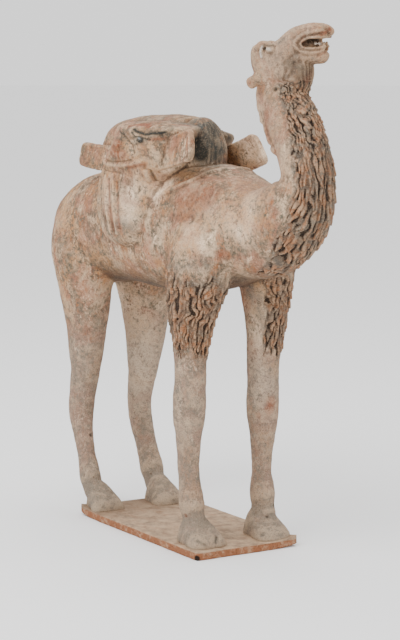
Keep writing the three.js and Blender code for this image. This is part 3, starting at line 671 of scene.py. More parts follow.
# Marks in relief and paint, some of them painted shade or painted light: line, half width, height of the relief, paint
# and its strength.
# On the bags the line is in x and z, and it is given for the right bag.
BAG_SQUEEZE = 0.55
BAG_MARKS = [
    ([(2, 578), (9, 574), (24, 571.5), (42, 571), (62, 574), (76, 580)], 3.6, 3, "", 0),
    ([(10, 580), (17, 577.5), (28, 576), (42, 574), (62, 576.5), (75, 578)], 1.9, 0, "ink_and_shade", 1.3),
    ([(44, 574), (56, 576), (70, 576)], 2.6, 0.6, "ink_and_shade", 1.1),
    ([(-10, 583), (3, 586.5), (26, 586.5), (40, 584)], 1.8, -0.8, "rust", 1.1),
    ([(14, 563), (30, 567), (46, 565)], 3.2, 1.8, "", 0),
    ([(9, 575.5), (18, 570.5), (33, 570.5), (50, 567)], 1.1, -0.6, "ink_and_shade", 1),
    ([(50, 567), (60, 568), (72, 569.5)], 2, 0, "rust", 0.55),
    ([(18, 560.5), (30, 559), (42, 561)], 1.1, 0, "ink_and_shade", 0.4),
    ([(24, 565), (42, 566)], 3.4, 1, "cool", 1),
    ([(33, 566)], 4, 0.6, "ink_and_shade", 2),
    ([(31.5, 568)], 1.2, 0, "white", 0.6),
    ([(-34, 577), (-24, 573), (-12, 572)], 1.4, 1.2, "ink_and_shade", 0.9),
    ([(-36, 567), (-25, 566), (-12, 563)], 1.5, 0.8, "ink_and_shade", 0.5),
    ([(-33, 559), (-26, 558)], 5.5, 7, "rust", 1.4),
    ([(-42, 549), (-28, 545), (-10, 545)], 5.5, 3.5, "rust", 1),
    ([(-14, 571), (-2, 566), (13, 559), (20, 549), (16, 541)], 1.8, -1.8, "", 0),
    ([(-8, 572), (5, 567), (19, 560), (27, 549), (23, 539)], 1.8, 1.4, "ink_and_shade", 0.12),
    ([(-70, 541), (-60, 538)], 5, 2.5, "rust", 0.3),
    ([(-20, 556), (-18, 538)], 1.6, -1.4, "", 0),
    ([(-88, 532), (-61, 528), (-30, 528), (-8, 529), (14, 532), (32, 536)], 2.8, 3.4, "pale", 0.3),
    ([(-84, 539), (-60, 533.5), (-36, 533), (-8, 535), (12, 538)], 1.4, -1.6, "ink_and_shade", 0.2),
    ([(8, 528), (24, 531), (36, 532.5)], 3.4, 0, "rust", 0.6),
    ([(-78, 521), (-50, 519), (-14, 519)], 1.8, -1.4, "", 0),
    ([(32, 550), (38, 553), (44, 550), (40, 545), (34, 546), (48, 545), (52, 541)], 1.1, 0.6, "ink_and_shade", 0.6),
    ([(54, 558), (62, 548), (60, 532)], 2.4, 1.8, "", 0),
    ([(70, 564), (76, 552), (74, 536)], 2.2, 1.4, "", 0),
    ([(36, 523), (37, 511)], 2.2, 3.2, "pale", 0.4),
    ([(43.5, 525), (42, 510)], 1.2, -2.2, "ink_and_shade", 0.5),
    ([(52, 522), (54, 508)], 1.5, -1.2, "", 0),
    ([(-62, 512), (-57, 470), (-47, 432)], 1.9, 2.2, "pale", 0.45),
    ([(-38, 514), (-33, 470), (-30, 432)], 1.6, 2.2, "pale", 0.5),
    ([(-50, 508), (-45, 470), (-38, 436)], 2.2, -1.4, "rust", 0.5),
    ([(-25, 505), (-22, 470), (-21, 440)], 2, -1, "rust", 0.35),
    ([(-76, 505), (-73, 470), (-60, 440), (-44, 420)], 3, -0.8, "cool", 0.4),
    ([(-8, 516), (-12, 495)], 2, 1.6, "", 0),
    ([(16, 514), (12, 496)], 2, 1.4, "", 0),
    ([(-4, 480), (12, 478)], 7, 0, "rust", 0.28),
    ([(6, 494), (14, 470)], 9, 1, "pale", 0.9),
    ([(24, 500), (0, 480), (-20, 462), (2, 452)], 13, 0, "pale", 0.8),
    ([(-56, 500), (-46, 470)], 7, 0, "pale", 0.7),
    ([(-16, 462)], 6, 0, "rust", 0.25),
    ([(-22, 446), (2, 444)], 9, 0, "cool", 0.55),
    ([(24, 466), (18, 448)], 5, 0, "cool", 0.45),
]
# On the head the line is along it and in z, the same on both sides
HEAD_MARKS = [
    ([(50, 711), (37, 709), (28, 705.5), (22, 698.5), (25, 691), (37, 689), (50, 690.5)], 1.7, -1.8, "ink_and_shade", 0.15),
    ([(55, 701), (44, 701), (34, 700)], 2.8, -2.5, "", 0),
    ([(24, 676), (14, 671), (8, 662), (8.5, 650), (0, 641)], 2.6, -1.4, "", 0),
    ([(16, 668), (22, 656), (22, 640), (14, 634)], 9, 0, "ink_and_shade", 0.32),
    ([(36, 640), (38, 652)], 5, 0, "ink_and_shade", 0.25),
    ([(-33, 694), (-26, 699), (-18, 698)], 2.6, 0, "rust", 0.35),
    ([(-24.5, 694), (-27, 688), (-25.5, 680.5)], 1.4, 1.2, "white", 0.5),
    ([(-18, 691), (-14, 690.5)], 1.7, 0.8, "white", 0.45),
    ([(-20.5, 691.5)], 1.7, -1, "ink_and_shade", 1),
    ([(-22, 696.5), (-16, 695), (-10, 696)], 1.2, 1.0, "ink_and_shade", 0.7),
    ([(-4, 699), (2, 704)], 2.5, 0, "cool", 0.6),
    ([(53, 711), (60, 714), (64, 719)], 2.8, -2.2, "rust", 0.8),
    ([(57, 718), (62, 711)], 2, -1.6, "ink_and_shade", 0.5),
    ([(-5.3, 639)], 2.4, -3.5, "ink_and_shade", 1),
    ([(-39, 648)], 6, -1.4, "rust", 0.5),
    ([(-38, 690), (-42, 665)], 7, 0, "cool", 0.5),
    ([(-35, 666)], 2, 0, "pale", 0.9),
    ([(32, 651), (38, 660)], 3.5, 0, "rust", 0.7),
    ([(30, 709), (27, 700), (31, 694)], 2.4, 0, "rust", 0.4),
]
# On the body the line is in space
BODY_MARKS = [
    ([(124, 0, 530), (122, -24, 526), (104, -53, 512), (80, -64, 501.5), (61, -69, 494), (53, -73, 487)],
     2.6, 0.8, "pale", 1.3),
    # Pale saddle cloth, with painted light where the boards shade it
    ([(60, -63, 507), (42, -72, 492)], 13, 0, "pale", 1.1),
    ([(58, -67, 523), (68, -49, 532), (79, -32, 532), (94, -16, 532), (106, 2, 532)], 9, 0, "pale", 1),
    # Painted light on the far board's face, which the load shades
    ([(84, 56, 551), (104, 60, 545), (72, 58, 540)], 22, 0, "pale", 1),
    ([(14, 50, 574), (20, 62, 563)], 13, 0, "ink_and_shade", 0.9),
    ([(82, -6, 582), (91, -12, 566)], 13, 0, "ink_and_shade", 0.7),
    ([(133, 22, 368), (131, 22, 350)], 12, 0, "cool", 0.9),
    ([(223, -36, 500), (242, -47, 475), (236, -51, 449), (209, -54, 460)], 17, 0, "pale", 0.8),
    # Painted light on the far hind leg, in the body's shade
    ([(-226, 21, 330), (-190, 24, 290), (-194, 28, 236), (-190, 30, 190)], 32, 0, "pale", 1.2),
    # Painted light on the inner face of the far foreleg, between the legs
    ([(140, 28, 340), (138, 34, 280), (138, 36, 220)], 22, 0, "pale", 0.9),
    ([(-40, -40, 592), (0, -26, 598), (34, -14, 597)], 26, 0, "cool", 0.4),
    ([(95, -73, 561), (80, -74, 557)], 13, 0, "rust", 0.35),
    ([(262, 6, 672), (268, 18, 662), (273, 28, 664), (266, 15, 654)], 11, 0, "ink_and_shade", 0.65),
    # Painted shade down the front of the neck
    ([(323, 14, 565), (337, 11, 525), (339, 8, 499), (332, 4, 473), (312, -4, 440)], 20, 0, "ink_and_shade", 0.25),
    ([(-118, -84, 434), (-108, -79, 411), (-106, -74, 395), (-103, -64, 380)], 5, -2.6, "ink_and_shade", 0.12),
    ([(108, -68, 488), (137, -60, 490), (152, -54, 492)], 17, 0, "rust", 0.7),
    ([(132, -74, 470), (108, -78, 468)], 13, 0, "rust", 0.45),
    ([(160, -64, 478), (178, -62, 462), (205, -51, 473)], 17, 0, "pale", 0.5),
    ([(147, -74, 456), (144, -80, 440), (165, -72, 432)], 15, 0, "pale", 0.5),
    ([(185, -56, 419), (196, -54, 420)], 7, 0, "rust", 0.8),
    ([(124, -88, 399), (153, -84, 406), (171, -72, 405)], 9, 0, "cool", 0.75),
    ([(148, 29, 348), (140, 26, 340), (146, 32, 322)], 8, 0, "cool", 0.7),
    ([(-150, -82, 449), (-122, -82, 415)], 14, 0, "rust", 0.15),
    ([(-173, -65, 283), (-170, -66, 262)], 6, 0, "rust", 0.4),
    ([(-182, -56, 115)], 2.4, -2.2, "ink_and_shade", 1),
    ([(-194, -70, 117), (-182, -58, 115.5)], 1.3, -0.7, "rust", 0.7),
    ([(142, 55, 205), (141, 52, 192)], 6, 0.6, "rust", 0.8),
    ([(128, 42, 184)], 4, 0, "rust", 0.6),
    ([(116, -70, 51)], 3, -1.2, "rust", 0.7),
    ([(137, 63, 55)], 2.4, -1.5, "ink_and_shade", 0.9),
    ([(141, 48, 40)], 2.2, -1.5, "ink_and_shade", 0.8),
    ([(244, -24, 605), (248, -25, 573)], 8, 0, "rust", 0.4),
    ([(70, -14, 590), (88, -14, 566), (94, -6, 548)], 30, 0, "cool", 1),
    ([(88, -20, 570), (94, -10, 550)], 17, 0, "ink_and_shade", 0.7),
    ([(78, -31, 562), (86, -27, 549)], 13, 0, "ink_and_shade", 1.6),
    ([(90, -4, 572), (97, 2, 556)], 5, 0, "pale", 0.3),
    # Painted shade inside the open mouth
    ([(250, 21, 703), (268, 39, 703)], 6.5, 0, "cut_shade", 1.5),
    # Painted shade in the near armpit
    ([(174, -32, 383), (183, -14, 384), (165, -20, 378)], 13, 0, "ink_and_shade", 0.45),
    # Painted shade under the belly
    ([(-144, -30, 354), (-80, -42, 350), (-10, -43, 357)], 10, 0, "ink_and_shade", 0.45),
    # Painted shade along the rear edge of the near forearm
    ([(95, -90, 368), (91, -86, 338), (104, -86, 312)], 8, 0, "ink_and_shade", 0.5),
    ([(275, 32.5, 698), (279.5, 36.5, 698)], 2.2, 0, "white", 0.35),
    ([(155, -43, 26), (157, -47, 20)], 2.6, -1.6, "ink_and_shade", 0.6),
    ([(151, -72, 23), (157, -64, 18)], 2, -0.8, "ink_and_shade", 0.35),
    ([(154, -57, 34), (160, -58, 22)], 2.2, -0.8, "ink_and_shade", 0.15),
    ([(157, 30, 20), (160, 40, 17)], 2.4, -1, "ink_and_shade", 0.4),
    ([(30, 26, 576), (52, 34, 561)], 11, 0, "ink_and_shade", 1),
    ([(-8, -97, 415), (0, -95, 417)], 2, -1.5, "ink_and_shade", 0.7),
]
# The dark paint also lays painted shade, and in places the pale paint is painted light
PAINTS = ("ink_and_shade", "rust", "pale", "white", "cool")


def laid_marks(points, facing):
    """For each mark: the points that it may reach, how near they lie to it from 0 to 1, its relief and its paint.

    Nearness is the bell exp(-(distance / half width) ** 2). Lengths along the bags count for less,
    so a mark there is wider along the bag than it is high.
    """
    x, y, z = points.T
    side = np.sign(y)
    shift = np.array([BAG_SHIFT[-1], BAG_SHIFT[1]], float)[(y > 0).astype(int)]
    floor = 56 + 30 * (1 - smoothstep(z, 478, 522))
    bag = smoothstep(np.abs(y), floor - 4, floor + 4) * smoothstep(side * facing[:, 1], 0, 0.3)
    bag = bag * (z > 400) * (np.abs(x - shift[:, 0] + 10) < 110)
    cos, sin = math.cos(HEAD_TURN), math.sin(HEAD_TURN)
    along, out = (x - HEAD_X) * cos + (y - HEAD_Y) * sin, (y - HEAD_Y) * cos - (x - HEAD_X) * sin
    outwards = np.sign(out) * (facing[:, 1] * cos - facing[:, 0] * sin)
    head = smoothstep(z, 630, 636) * smoothstep(np.abs(out), 3, 7) * smoothstep(outwards, 0, 0.35)
    tables = [(BAG_MARKS, bag, np.column_stack([x, z]) - shift, (BAG_SQUEEZE, 1)),
              (HEAD_MARKS, head, np.column_stack([along, z]), (1, 1)),
              (BODY_MARKS, np.ones(len(points)), points, (1, 1, 1))]
    for marks, share, places, squeeze in tables:
        inside = np.where(share > 0)[0]
        reached = places[inside] * squeeze
        for line, width, height, paint, strength in marks:
            apart = line_distance(reached, np.multiply(line, squeeze)) / width
            yield inside, share[inside] * np.exp(-apart ** 2), height, paint, strength


def hump_hair(points):
    """Strands that hang down the front of the hump, and where they are."""
    away = (points - HUMP[:3]) / HUMP[3:]
    size = np.linalg.norm(away, axis=1)
    down = np.arccos(np.clip(away[:, 2] / np.maximum(size, 1e-6), -1, 1)) * 45
    share = smoothstep(points[:, 0], 56, 66) * (1 - smoothstep(size, 1.12, 1.25)) * smoothstep(size, 0.7, 0.85)
    share = share * smoothstep(points[:, 2], 528, 540)
    return share, locks(down, np.arctan2(away[:, 1], away[:, 0]) * 34, 60, 6, 61)


def carving(points, facing):
    """How far each point is moved along its normal by what is carved in, in millimetres, and the fringe."""
    x, y, z = points.T
    depth = 0.9 * noise3(points, 38, 1) + 0.4 * noise3(points, 11, 2) + 0.25 * noise3(points, 4.5, 3)
    for inside, near, height, _, _ in laid_marks(points, facing):
        depth[inside] += near * height * 0.7
    share, high = hump_hair(points)
    depth = depth + share * (high * 2.2 - 1.1)
    throat = smoothstep(z, 634, 642) * (1 - smoothstep(z, 672, 678)) * smoothstep(x, 246, 256)
    depth = depth + throat * 0.7 * (np.cos((x * 0.55 - y * 0.83) * 1.75 + 3 * noise2(x / 9, z / 14, 4)) - 0.3)
    fringe = np.zeros(len(points))
    for coat in coats():
        share, high, _, deep = coat.carve(points)
        depth = depth * (1 - 0.6 * share) + share * (high - 0.4) * deep
        fringe = np.maximum(fringe, share)
    return depth, fringe


# How much more readily plain places are thinned than those with the finest work
PLAIN_LEEWAY, WORKED_WEIGHT, FRINGE_WEIGHT = 1e-5, 0.3, 0.9
# Triangles with edges shorter than this are closed up
SPECK = 0.1


def worked(points):
    """The places with the finest work, which stay finely meshed: the head, and the mask on the right."""
    x, y, z = points.T
    head = (z > 634) & (np.abs(x - HEAD_X) + np.abs(y - HEAD_Y) < 90)
    return head | ((y < -60) & (z > 505) & (z < 592) & (x > -110) & (x < 85))


def fuse_camel(voxel, keep):
    """One closed clay body: shells fused on a voxel grid, joints relaxed, carving added, then thinned."""
    piece = new_object("camel_figure", new_mesh("camel_figure", *join(camel_shells())))
    remesh = piece.modifiers.new("Fuse", "REMESH")
    remesh.mode = "VOXEL"
    remesh.voxel_size = voxel * MM
    remesh.adaptivity = 0
    mesh = finished(piece)
    points, edges = positions(mesh), edge_pairs(mesh)
    points = relax(points, edges, np.full(len(points), 0.5), 3)
    points = relax(points, edges, 0.6 * joint_weight(points), int(70 / voxel))
    place(mesh, points)
    facing = normals(mesh)
    depth, fringe = carving(points, facing)
    points = points + facing * depth[:, None]
    points[:, 2] = np.maximum(points[:, 2], SLAB_TOP - 0.8)
    place(mesh, points)
    plain = piece.vertex_groups.new(name="plain")
    fine = worked(points)
    for places, weight in ((~fine, 1.0), (~fine & (fringe > 0.3), FRINGE_WEIGHT), (fine, WORKED_WEIGHT)):
        plain.add(np.where(places)[0].tolist(), weight, "REPLACE")
    triangles = 2 * len(mesh.polygons)
    thin = piece.modifiers.new("Thin", "DECIMATE")
    thin.vertex_group = plain.name
    thin.vertex_group_factor = PLAIN_LEEWAY
    thin.ratio = min(1.0, keep / triangles)
    weld = piece.modifiers.new("Weld", "WELD")
    weld.merge_threshold = SPECK * MM
    mesh = finished(piece)
    mesh.shade_smooth()
    return piece


def paint_values(piece):
    """Stores what the clay material reads at each vertex.

    They are the share of fringe, the painted shade of its cuts and low places, small and large hollows for painted
    shade and a painted highlight, the painted shade under the belly, and four paints, some marks of which are painted
    shade or painted light.
    """
    mesh = piece.data
    points, edges, facing = positions(mesh), edge_pairs(mesh), normals(mesh)
    values = {name: np.zeros(len(points)) for name in ("fringe", "cut_shade", "low", *PAINTS)}
    z = points[:, 2]
    # Painted shade under the belly, on faces turned down
    values["under"] = smoothstep(-facing[:, 2], 0.35, 0.95) * smoothstep(z, 330, 350) * (1 - smoothstep(z, 370, 410))
    for coat in coats():
        share, high, rim, _ = coat.carve(points)
        values["fringe"] = np.maximum(values["fringe"], share)
        # Painted shade in the cuts between the locks and in their low places
        values["cut_shade"] = np.maximum(values["cut_shade"], share * (1 - smoothstep(high, 0.1, 0.38)))
        values["low"] = np.maximum(values["low"], share * (1 - smoothstep(high, 0.3, 0.62)))
        values["cool"] = np.maximum(values["cool"], rim * 0.6)
    for inside, near, _, paint, strength in laid_marks(points, facing):
        if paint:
            values[paint][inside] = np.maximum(values[paint][inside], near * strength)
    share, high = hump_hair(points)
    # Painted shade in the cuts of the hump's hair
    values["cut_shade"] = np.maximum(values["cut_shade"], share * (1 - smoothstep(high, 0.1, 0.5)) * 0.2)
    # Depth below the smoothed surface, at a small and a large scale: the material lays painted shade in the hollows and
    # a painted highlight on rounded places by it
    full = np.full(len(points), 0.7)
    soft = relax(points, edges, full, 3)
    values["hollow"] = np.einsum("ij,ij->i", soft - points, facing)
    values["deep"] = np.einsum("ij,ij->i", relax(soft, edges, full, 26) - points, facing)
    for name, column in values.items():
        attribute = mesh.attributes.new(name, "FLOAT", "POINT")
        attribute.data.foreach_set("value", column.astype(np.float32))


def slab_shell(steps=2.2):
    """The slab as a fine grid: an uneven plate whose two corners curl up, with a worn rim."""
    low, high = (np.array(corner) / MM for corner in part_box("base_slab"))
    size = high - low
    across = max(8, int(size[0] / steps)), max(8, int(size[1] / steps)), 6
    u, v = np.meshgrid(np.linspace(-1, 1, across[0] + 1), np.linspace(-1, 1, across[1] + 1), indexing="ij")

    def level(share):
        x, y = u * size[0] / 2, v * size[1] / 2
        corner = np.maximum(0, np.abs(u) + np.abs(v) - 1.95) / 0.05
        x, y = x - np.sign(u) * corner * 1.5, y - np.sign(v) * corner * 1.5
        rough = 0.7 * (noise2(x / 9, y / 9 + share * 3, 5) - 0.5) + 1.4 * (noise2(x / 33, y / 33, 6) - 0.5)
        rim = np.maximum(np.abs(u), np.abs(v)) > 0.999
        x = x - np.sign(u) * np.where(np.abs(u) > 0.999, 0.9 + rough, 0)
        y = y - np.sign(v) * np.where(np.abs(v) > 0.999, 0.9 + rough, 0)
        curl = sum(5 * np.maximum(0, 1 - np.hypot(x - sx * size[0] / 2, y - sy * size[1] / 2) / 46) ** 2
                   for sx, sy in ((-1, -1), (1, 1)))
        z = share * SLAB_TOP + curl + (0.25 * rough if share > 0.9 else 0) - (0.8 * rim if share > 0.9 else 0)
        return np.stack([x, y, z], -1)

    layers = [level(k / across[2]) for k in range(across[2] + 1)]
    return box_shell(layers)


def box_shell(layers):
    """A closed shell over a stack of equal grids: the first and last whole, the others by their rims."""
    n, m = layers[0].shape[:2]
    index = np.arange(n * m).reshape(n, m)
    rim = np.concatenate([index[:-1, 0], index[-1, :-1], index[:0:-1, -1], index[0, :0:-1]])
    bottom, top = layers[0].reshape(-1, 3), layers[-1].reshape(-1, 3)
    between = [layer.reshape(-1, 3)[rim] for layer in layers[1:-1]]
    points = np.vstack([bottom, top, *between])
    a, b, c, d = index[:-1, :-1], index[1:, :-1], index[1:, 1:], index[:-1, 1:]
    plate = np.concatenate([np.stack([a, b, c], -1).reshape(-1, 3), np.stack([a, c, d], -1).reshape(-1, 3)])
    faces = [plate[:, ::-1], plate + n * m]
    rows = [rim] + [2 * n * m + k * len(rim) + np.arange(len(rim)) for k in range(len(between))] + [rim + n * m]
    for below, above in zip(rows[:-1], rows[1:]):
        next_below, next_above = np.roll(below, -1), np.roll(above, -1)
        faces.append(np.stack([below, next_below, next_above], -1))
        faces.append(np.stack([below, next_above, above], -1))
    return outward(points, np.concatenate(faces))


class Value:
    """A shader socket whose arithmetic adds Math nodes."""

    def __init__(self, shader, socket):
        self.shader, self.socket = shader, socket

    def __add__(self, other):
        return self.shader.math("ADD", self, other)

    def __sub__(self, other):
        return self.shader.math("SUBTRACT", self, other)

    def __mul__(self, other):
        return self.shader.math("MULTIPLY", self, other)

    def __rsub__(self, other):
        return self.shader.math("SUBTRACT", other, self)

    __radd__ = __add__
    __rmul__ = __mul__


class Shader:
    """A material that is written as expressions."""

    def __init__(self, name):
        self.material = bpy.data.materials.new(name)
        self.material.use_nodes = True
        self.tree = self.material.node_tree
        self.tree.nodes.clear()
        self.place = self.node("ShaderNodeTexCoord").outputs["Object"]

    def node(self, kind, settings=None, inputs=None):
        """Adds a node: its settings first, then the values or links of its sockets."""
        node = self.tree.nodes.new(kind)
        for name, value in (settings or {}).items():
            setattr(node, name, value)
        for name, value in (inputs or {}).items():
            socket = value.socket if isinstance(value, Value) else value
            if isinstance(socket, bpy.types.NodeSocket):
                self.tree.links.new(socket, node.inputs[name])
            else:
                node.inputs[name].default_value = socket
        return node

    def math(self, operation, a, b=0.0, clamp=False):
        node = self.node("ShaderNodeMath", {"operation": operation, "use_clamp": clamp}, {0: a, 1: b})
        return Value(self, node.outputs[0])

    def attribute(self, name):
        return Value(self, self.node("ShaderNodeAttribute", {"attribute_name": name}).outputs["Fac"])

    def stretched(self, scale=(1, 1, 1), turn=(0, 0, 0)):
        """Object coordinates, turned and scaled."""
        node = self.node("ShaderNodeMapping", None, {"Vector": self.place, "Scale": scale, "Rotation": turn})
        return node.outputs["Vector"]

    def noise(self, size, detail=4.0, rough=0.55, warp=0.0, where=None):
        """Noise whose features are about size millimetres wide, from 0 to 1."""
        node = self.node("ShaderNodeTexNoise", None, {
            "Vector": where or self.place, "Scale": 1 / (size * MM), "Detail": detail,
            "Roughness": rough, "Distortion": warp})
        return Value(self, node.outputs["Fac"])

    def band(self, value, low, high, start=0.0, end=1.0):
        """Rises smoothly from start to end as the value goes from low to high."""
        node = self.node("ShaderNodeMapRange", {"interpolation_type": "SMOOTHSTEP"}, {
            "Value": value, "From Min": low, "From Max": high, "To Min": start, "To Max": end})
        return Value(self, node.outputs["Result"])

    def mix(self, factor, a, b):
        """Colour a, with colour b laid over it by the factor."""
        node = self.node("ShaderNodeMix", {"data_type": "RGBA"}, {0: factor, 6: a, 7: b})
        return node.outputs[2]

    def spot(self, centre, radius, soft=0.5):
        """1 within radius millimetres of a point, fading out over a share of it."""
        point = tuple(c * MM for c in centre)
        node = self.node("ShaderNodeVectorMath", {"operation": "DISTANCE"}, {0: self.place, 1: point})
        return self.band(Value(self, node.outputs["Value"]), radius * MM * (1 - soft), radius * MM * (1 + soft), 1.0, 0.0)

    def axis(self, index):
        """One coordinate, in millimetres."""
        node = self.node("ShaderNodeSeparateXYZ", None, {0: self.place})
        return Value(self, node.outputs[index]) * (1 / MM)

    def contrast(self, colour, middle, power):
        """Sets a colour further apart from a middle tone, which stays as it is."""
        steep = self.node("ShaderNodeGamma", None, {"Color": colour, "Gamma": power}).outputs["Color"]
        gain = [value ** (1 - power) for value in middle[:3]]
        return self.node("ShaderNodeVectorMath", {"operation": "MULTIPLY"}, {0: steep, 1: gain}).outputs["Vector"]

    def finish(self, colour, roughness, height, strength, distance):
        """Principled surface with a bump from height."""
        bump = self.node("ShaderNodeBump", None, {
            "Height": height, "Strength": strength, "Distance": distance * MM})
        surface = self.node("ShaderNodeBsdfPrincipled", None, {
            "Base Color": colour, "Roughness": roughness, "Normal": bump.outputs["Normal"],
            "Specular IOR Level": 0.25})
        self.node("ShaderNodeOutputMaterial", None, {"Surface": surface.outputs["BSDF"]})
        return self.material


def tone(red, green, blue):
    """A screen colour from 0 to 255 as linear light."""
    linear = [(c / 255) ** 2.2 for c in (red, green, blue)]
    return (*linear, 1.0)


MIDDLE = tone(152, 128, 107)
SLIP = tone(142, 113, 90)
SLIP_LIGHT = tone(194, 166, 136)
SLIP_PINK = tone(156, 106, 84)
SLIP_GREY = tone(108, 99, 86)
SLIP_DARK = tone(98, 90, 77)
CHALK = tone(226, 198, 168)
OCHRE = tone(172, 128, 84)
FOOT_GREY = tone(118, 108, 92)
CLAY = tone(146, 94, 60)
CLAY_RED = tone(128, 76, 56)
BLUE_GREY = tone(80, 84, 81)
# Near black: painted shade in the fringe's cuts and inside the open mouth, and dark chips on the slab
CUT_SHADE_AND_CHIP = tone(40, 28, 21)
# Dark earth brown: specks and cracks, painted shade in the hollows and under the belly, and a darkening towards the
# rear of the slab
EARTH_AND_SHADE = tone(88, 68, 53)
FUR = tone(148, 96, 62)
FUR_PALE = tone(168, 134, 106)
FUR_GREY = tone(106, 101, 92)
FUR_DARK = tone(100, 66, 44)
FUR_SHADE = tone(86, 78, 70)
WHITE = tone(214, 208, 200)
HEAD_SLIP = tone(158, 132, 112)
LEG_GREY = tone(134, 120, 107)
RIM = tone(138, 90, 63)
# Dark paint for the painted lines, also laid as painted shade under the belly, in the armpit, down the front of the
# neck and along a forearm
INK_AND_SHADE = tone(54, 53, 48)
RUST = tone(130, 74, 52)


def painted_clay():
    """Pale slip over orange clay, with clouds, drips, wear and traces of paint, painted shade in the hollows, the cuts
    and under the belly, and a painted highlight on ridges.
    """
    s = Shader("painted_clay")
    drip = s.stretched((1, 1, 0.35))
    fine = s.noise(1.7, 3, 0.7)
    small = s.noise(4.5, 5, 0.7, 0.6)
    middle = s.noise(14, 6, 0.68, 0.5)
    large = s.noise(55, 6, 0.62, 0.5)
    mottle = small * 0.6 + middle * 0.4
    colour = s.mix(s.band(mottle, 0.41, 0.56), SLIP_DARK, SLIP)
    colour = s.mix(s.band(large + mottle * 0.9, 0.9, 1.12) * 0.9, colour, SLIP_LIGHT)
    pink = s.band(s.noise(42, 6, 0.66, 0.7), 0.46, 0.62)
    colour = s.mix(pink * s.band(small, 0.3, 0.6, 0.3, 0.7), colour, SLIP_PINK)
    worn = s.band(s.noise(20, 7, 0.75, 0.8, drip), 0.5, 0.62)
    colour = s.mix(worn * s.band(small, 0.4, 0.56) * 0.8, colour, CLAY)
    pale = s.band(s.noise(15, 7, 0.75, 1.0, drip), 0.52, 0.66)
    colour = s.mix(pale * s.band(small, 0.44, 0.6) * 0.75, colour, CHALK)
    # Pale paint, which in places is painted light on the far legs, the far board and the shaded saddle cloth
    colour = s.mix(s.attribute("pale") * s.band(small + middle, 0.75, 1.1), colour, CHALK)
    ochre = s.band(s.noise(70, 4, 0.6, 0.4), 0.45, 0.6) * s.band(mottle, 0.4, 0.6)
    colour = s.mix(ochre * 0.6, colour, OCHRE)
    foot = s.band(s.axis(2), 40.0, 80.0, 1.0, 0.0) * s.band(middle, 0.3, 0.6, 0.35, 1.0)
    colour = s.mix(foot * 0.8, colour, FOOT_GREY)
    colour = s.mix(s.spot((244, 12, 690), 52, 0.35) * 0.55, colour, HEAD_SLIP)
    leg = s.band(s.axis(2), 230.0, 340.0, 1.0, 0.0)
    colour = s.mix(leg * 0.55, colour, LEG_GREY)
    colour = s.mix(s.spot((222, 5, 560), 78, 0.35) * 0.45, colour, HEAD_SLIP)
    fringe, cut_shade = s.attribute("fringe"), s.attribute("cut_shade")
    low = s.attribute("low")
    coat = s.mix(s.band(s.noise(11, 5, 0.72, 0.6), 0.44, 0.56), FUR_PALE, FUR)
    coat = s.mix(s.band(s.noise(16, 6, 0.74, 0.8), 0.48, 0.58) * 0.85, coat, FUR_GREY)
    coat = s.mix(low * s.band(s.noise(12, 4, 0.6), 0.38, 0.55, 0.5, 0.95), coat, FUR_SHADE)
    coat = s.mix(s.band(s.axis(2), 420.0, 360.0) * 0.2, coat, FUR_DARK)
    colour = s.mix(fringe * 0.9, colour, coat)
    colour = s.mix(s.attribute("cool") * s.band(middle, 0.3, 0.6), colour, BLUE_GREY)
    rust = s.attribute("rust") * s.band(small + middle * 0.6, 0.5, 0.95, 0.25, 1.0)
    colour = s.mix(s.band(rust, 0.0, 0.35) * 0.5, colour, CLAY_RED)
    colour = s.mix(s.band(rust, 0.35, 0.85) * 0.6, colour, RUST)
    # Painted shade in the hollows
    colour = s.mix(s.band(s.attribute("hollow"), 0.03, 0.32) * 0.5, colour, EARTH_AND_SHADE)
    # Painted highlight on ridges and rounded places, weaker on the fringe
    colour = s.mix(s.band(s.attribute("hollow"), -0.1, -0.45) * (0.35 - fringe * 0.15), colour, SLIP_LIGHT)
    # Painted shade in the larger hollows
    colour = s.mix(s.band(s.attribute("deep"), 1.0, 4.5) * 0.5, colour, EARTH_AND_SHADE)
    # Painted shade under the belly
    colour = s.mix(s.attribute("under") * s.band(middle, 0.25, 0.6, 0.6, 0.95), colour, EARTH_AND_SHADE)
    # Painted shade in the cuts of the fringe and the hump's hair, and inside the mouth
    colour = s.mix(s.band(cut_shade, 0.1, 0.8) * 0.88, colour, CUT_SHADE_AND_CHIP)
    # Dark paint, which also lays painted shade under the belly, in the armpit, down the front of the neck and along a
    # forearm
    colour = s.mix(s.attribute("ink_and_shade") * s.band(small, 0.25, 0.5, 0.6, 1.0), colour, INK_AND_SHADE)
    colour = s.mix(s.attribute("white"), colour, WHITE)
    colour = s.mix(s.band(fine, 0.54, 0.68) * 0.55, colour, EARTH_AND_SHADE)
    colour = s.mix(s.band(fine, 0.46, 0.32) * 0.3, colour, SLIP_LIGHT)
    colour = s.mix(s.band(s.noise(3, 4, 0.7, 0.5), 0.58, 0.68) * 0.5, colour, EARTH_AND_SHADE)
    crack = s.noise(6, 5, 0.72, 1.4)
    line = s.band(crack, 0.485, 0.498) * s.band(crack, 0.515, 0.502)
    colour = s.mix(line * s.band(middle, 0.42, 0.6) * 0.45, colour, EARTH_AND_SHADE)
    combed = s.noise(2.2, 3, 0.6, 0.3, s.stretched((1, 1, 0.22)))
    height = small * 0.6 + fine * 0.4 + fringe * combed * 0.8
    return s.finish(s.contrast(colour, MIDDLE, 1.2), 0.88, height, 0.7, 2.0)


